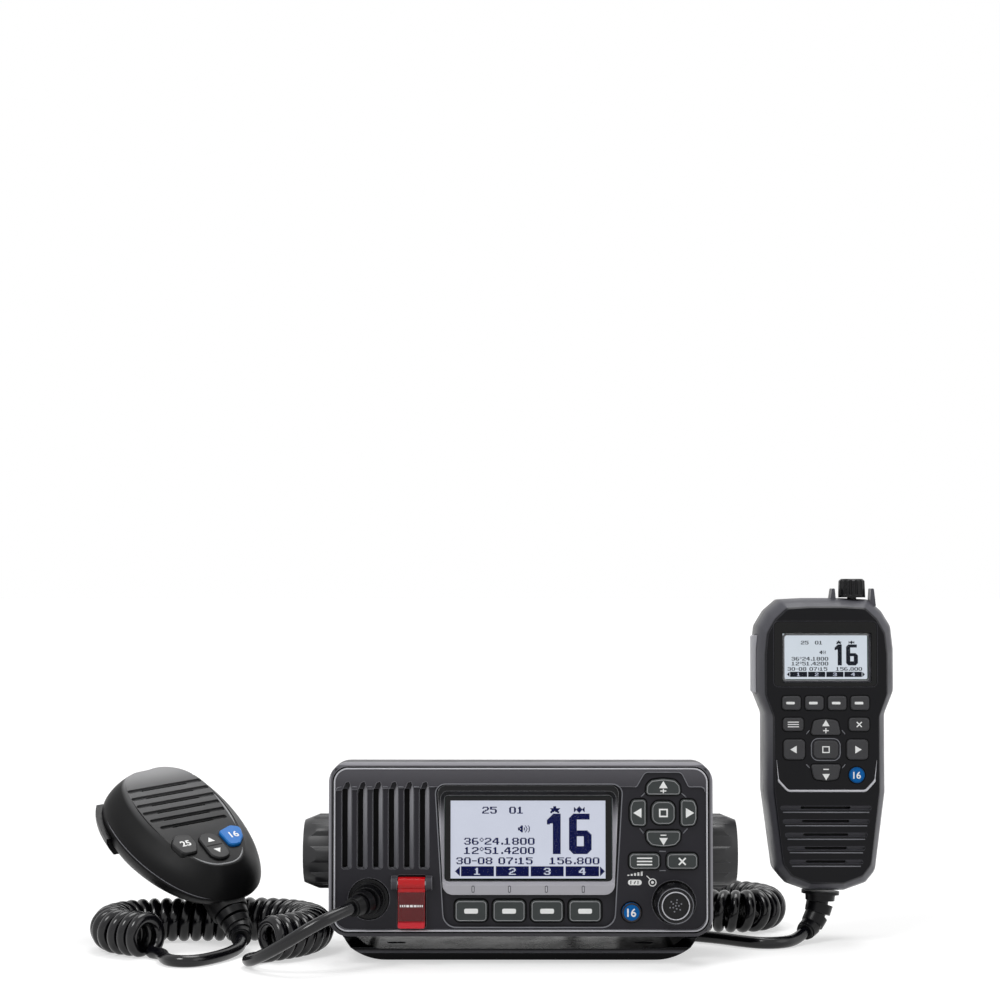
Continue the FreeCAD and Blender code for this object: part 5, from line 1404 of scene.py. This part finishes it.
    def make_volume_marks(self) -> None:
        """Bright rings on the knob (painted highlights), dots on it, and signs beside it."""
        u, v = self.knob
        for name, radius, thick, finish in (("volume_knob_ring_highlights", 5.5, 0.24, BRIGHT_LINE),
                                            ("volume_knob_edge_highlight", 7.05, 0.16, GREY_LINE)):
            self.bead(name, [circle(u, v, radius, 48)], round_profile(thick), finish,
                      self.knob_front, "volume_knob")
        dots = [circle(u + r * math.cos(a), v + r * math.sin(a), 0.34, 12)
                for r, turns in ((0.0, (0,)), (1.25, range(0, 360, 72)), (2.4, range(18, 378, 60)))
                for a in map(math.radians, turns)]
        self.mark("volume_knob_dots", dots, self.knob_front + 0.8, "volume_knob", GREY_LINE)
        self.bead("volume_sign_ring", [circle(53.6, -13.3, 1.45, 24)], flat_profile(-0.2, 0.2),
                  WHITE, self.field)
        pale = [circle(53.6, -13.3, 0.6, 12), stroke((51.2, -10.6), (53.0, -12.4), 0.35)]
        pale += [rectangle(43.4 + k * 1.35, 44.2 + k * 1.35, -10.6, -10.2 + k * 0.33)
                 for k in range(5)]
        pale.append(pill(46.4, -13.3, 5.6, 2.2, 1.05))
        self.mark("volume_signs", pale, self.field, "radio")
        dark = [rectangle(44.6, 44.95, -14.0, -12.6), stroke((46.1, -13.9), (46.7, -12.7), 0.3),
                rectangle(47.5, 47.85, -14.0, -12.6)]
        self.mark("volume_sign_bars", dark, self.field - 0.07, "radio", DARK_LINE)

    def make_cover_marks(self) -> None:
        """Three dots, three dashes and three dots on the clear red cover."""
        dot, dash, gap, middle = 0.5, 1.15, 0.36, -44.35
        widths = (dot,) * 3 + (dash,) * 3 + (dot,) * 3
        left = middle - (sum(widths) + gap * (len(widths) - 1)) / 2
        marks = []
        for width in widths:
            marks.append(rectangle(left, left + width, -22.9, -22.0))
            left += width + gap
        self.mark("distress_cover_marks", marks, -2.52, "distress_cover")


@dataclass
class HandMic(Assembly):
    """The hand microphone, which lies turned; depths go down from the top of its own frame."""

    face: float = 2.0
    split: float = 13.4
    cap: float = 0.61
    half: float = 20.4
    low: float = -45.0
    high: float = 26.8
    keys: tuple[Point2, Point2] = ((12.0, -27.8), (-12.0, -27.8))
    key_room: float = 7.0

    def place(self, depth: float) -> Matrix:
        """From a drawing at a depth behind the face to the part's frame."""
        return (mic_place() @ Matrix.Translation((0, 0, -depth))
                @ Matrix.Rotation(-math.pi / 2, 4, "X"))

    @staticmethod
    def egg(half: float, low: float, high: float, turns: Iterable[int]) -> list[Point2]:
        """Points of an egg-shaped section, their turns in degrees from the top."""
        points = []
        for turn in map(math.radians, turns):
            up, side = math.cos(turn), math.sin(turn)
            wide = abs(side) ** (0.6 if up > 0 else 0.75) * (1 + 0.12 * up) / 1.02
            points.append((math.copysign(wide, side) * half,
                           (low + high) / 2 + up * (high - low) / 2))
        return points

    def past_keys(self, line: Sequence[Point2]) -> list[list[Point2]]:
        """Cuts a line where it would pass under the power key or the channel key."""
        runs: list[list[Point2]] = [[]]
        for point in line:
            if min(math.dist(point, key) for key in self.keys) > self.key_room:
                runs[-1].append(point)
            elif runs[-1]:
                runs.append([])
        return [run for run in runs if len(run) > 6]

    def line(self, name: str, paths: Sequence, profile: Sequence[Point2], finish: Finish,
             depth: float) -> None:
        """An open bead that thins out at its ends."""
        self.bead(name, paths, profile, finish, depth, closed=False, taper=3)

    def build(self) -> None:
        """Dresses the microphone and adds its marks."""
        for finish, nodes, angle in (
                (MIC_SHELL, "hand_mic_front", 0.6), (MIC_REAR, "hand_mic_back", 0.6),
                (BLACK_RUBBER, "hand_mic_boot hand_mic_talk_key", 0.5),
                (CONE, "hand_mic_speaker", 0.5), (BOARD, "hand_mic_board", 0.5),
                (MIC_KEYS, "hand_mic_power_key hand_mic_rocker", 0.5),
                (MIC_BLUE, "hand_mic_channel_key", 0.5)):
            self.shop.dress(finish, nodes, angle)
        arrows = [triangle(-0.2, -28.3, 3.4, "up"), triangle(-0.2, -36.0, 3.4, "down")]
        self.mark("hand_mic_arrows", arrows, self.cap, "hand_mic_rocker")
        lift = self.cap - PRINT
        self.number("hand_mic_number", "16", 3.6, self.keys[0], lift, "hand_mic_channel_key")
        self.number("hand_mic_power_number", "25", 3.4, self.keys[1], lift, "hand_mic_power_key")
        # A dark line on the rocker: painted shade of its groove.
        self.mark("hand_mic_rocker_groove_shade", [rectangle(-4.0, 3.6, -32.5, -31.9)], self.cap - 0.01,
                  "hand_mic_rocker", DARK_LINE)
        # The pale ridge and the pale line beside the seam are painted highlights; the dark groove
        # line is painted shade.
        ridge = self.egg(self.half - 1.2, self.low + 1.4, self.high - 1.0, range(70, 221, 5))
        self.line("hand_mic_ridge_highlight", self.past_keys(ridge), round_profile(0.42, -0.1), RIDGE_GREY,
                  self.face)
        seam = self.egg(30.15, -53.85, 30.35, range(196, 301, 4))
        self.line("hand_mic_seam", [seam], round_profile(0.34), DARK_LINE, self.split)
        self.line("hand_mic_seam_highlight", [seam], round_profile(0.2), MID_GREY, self.split - 1.0)
        groove = self.egg(self.half - 0.2, self.low + 0.3, self.high - 0.2, range(60, 301, 5))
        self.line("hand_mic_groove_shade", self.past_keys(groove), round_profile(0.34, -0.2), DARK_LINE,
                  self.face)


@dataclass
class Handset(Assembly):
    """The upright remote handset; its face has u to the right of its middle and v up."""

    origin: Point3 = (SET_X, SET_Y, 0.0)
    cap: float = -0.7

    def build(self) -> None:
        """Dresses the handset and adds its marks."""
        for finish, nodes in (
                (SHELL, "handset_front handset_back"), (SET_WINDOW, "handset_window"),
                (SET_LCD, "handset_lcd"), (BOARD, "handset_board"), (CONE, "handset_speaker"),
                (BLACK_RUBBER, "handset_boot"), (TALK_GREY, "handset_talk_key"),
                (KNOB, "handset_knob"),
                (SET_KEYS, "handset_function_keys handset_arrow_keys handset_enter_key"),
                (BLUE, "handset_channel_key")):
            self.shop.dress(finish, nodes)
        self.make_key_marks()
        self.make_trim()

    def make_key_marks(self) -> None:
        """Dashes, arrow heads, signs and the number on the keys."""
        dashes = [pill(-15.2 + i * 9.85, 104.0, 3.7, 1.1, 0.4) for i in range(4)]
        self.mark("handset_dashes", dashes, self.cap, "handset_function_keys")
        arrows = [triangle(0, 95.4, 3.2, "up"), triangle(0, 72.2, 3.2, "down"),
                  triangle(-14.0, 84.0, 3.3, "left"), triangle(14.0, 84.0, 3.3, "right"),
                  rectangle(-1.2, 1.2, 91.9, 92.35), rectangle(-1.2, 1.2, 75.3, 75.75),
                  rectangle(-0.22, 0.22, 91.0, 91.85), rectangle(-0.22, 0.22, 92.4, 93.25)]
        self.mark("handset_arrows", arrows, self.cap, "handset_arrow_keys")
        signs = menu_bars(-16.4, -11.6, 94.8, 1.0, 0.2) + cross(13.3, 93.7, 2.2, (0.9, 1.3), 0.5)
        self.mark("handset_signs", signs, self.cap, "handset_function_keys")
        self.mark("handset_enter_square", frame_bars(-1.6, 1.6, 82.55, 85.45, 0.45), self.cap,
                  "handset_enter_key")
        self.number("handset_number", "16", 2.9, (13.3, 73.0), self.cap - PRINT,
                    "handset_channel_key", "blue_key")

    def make_trim(self) -> None:
        """The display's ring, the bright ridges, painted shade round the keys and the slots' lips.
        """
        ring = rounded(rectangle(-17.9, 19.5, 113.4, 133.6), 1.7, 8)
        self.bead("handset_display_ring", [ring], flat_profile(-0.5, 0.5, 0.0, 0.1), RIDGE_GREY,
                  1.76)
        keys = ("handset_function_keys", "handset_arrow_keys", "handset_channel_key")
        self.bead("handset_key_gap_shade", self.outlines(keys, 0.0), flat_profile(0.1, 0.5), DARK_LINE)
        self.bead("handset_enter_ring", self.outlines(["handset_enter_key"], 0.0),
                  flat_profile(0.6, 1.0), GREY_LINE)
        curve = rounded([(-21.3, 90.0), (-20.4, 70.5), (-16.4, 66.2), (17.1, 66.2), (21.1, 70.5),
                         (22.1, 90.0)], [0.1, 2.4, 2.4, 2.4, 2.4, 0.1])
        curve = [p for p in curve if p[1] < 84.0]
        self.bead("handset_silver_ridge", [[(-21.2, 79.5), *curve, (22.0, 79.5)]],
                  round_profile(0.5), BRIGHT_LINE, closed=False, taper=4)
        ridges = [[(side * 8.4, far), (side * 7.0, near)]
                  for far, near in ((90.6, 92.2), (77.6, 76.0)) for side in (-1, 1)]
        self.bead("handset_key_ridges", ridges, round_profile(0.2), GREY_LINE, closed=False)
        lips = [[(-18.6 + 0.95 * i, 57.0 - 5.78 * i), (18.6 - 0.95 * i, 57.0 - 5.78 * i)]
                for i in range(5)]
        self.bead("handset_slot_lips", lips, round_profile(0.28, -0.1), GREY_LINE, closed=False)


def main() -> None:
    """Builds every part of the scene."""
    logging.basicConfig(level=logging.INFO, format="%(name)s: %(message)s")
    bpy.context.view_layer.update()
    shop = Workshop()
    Studio().build()
    for cord in (MIC_CORD, SET_CORD):
        cord.build(shop)
    Radio(shop).build()
    Screen("display", "radio", "display_panel", depth=FACE_Y + 4.6, left=-29.6,
           low=FACE_Z - 12.3, width=65.0, ink=PIXELS).build(shop)
    HandMic(shop).build()
    Handset(shop).build()
    Screen("handset_display", "stand", "handset_display", depth=SET_Y + 1.8, left=SET_X - 17.9,
           low=114.6, width=35.8, ink=SET_PIXELS).build(shop)


if __name__ == "__main__":
    main()
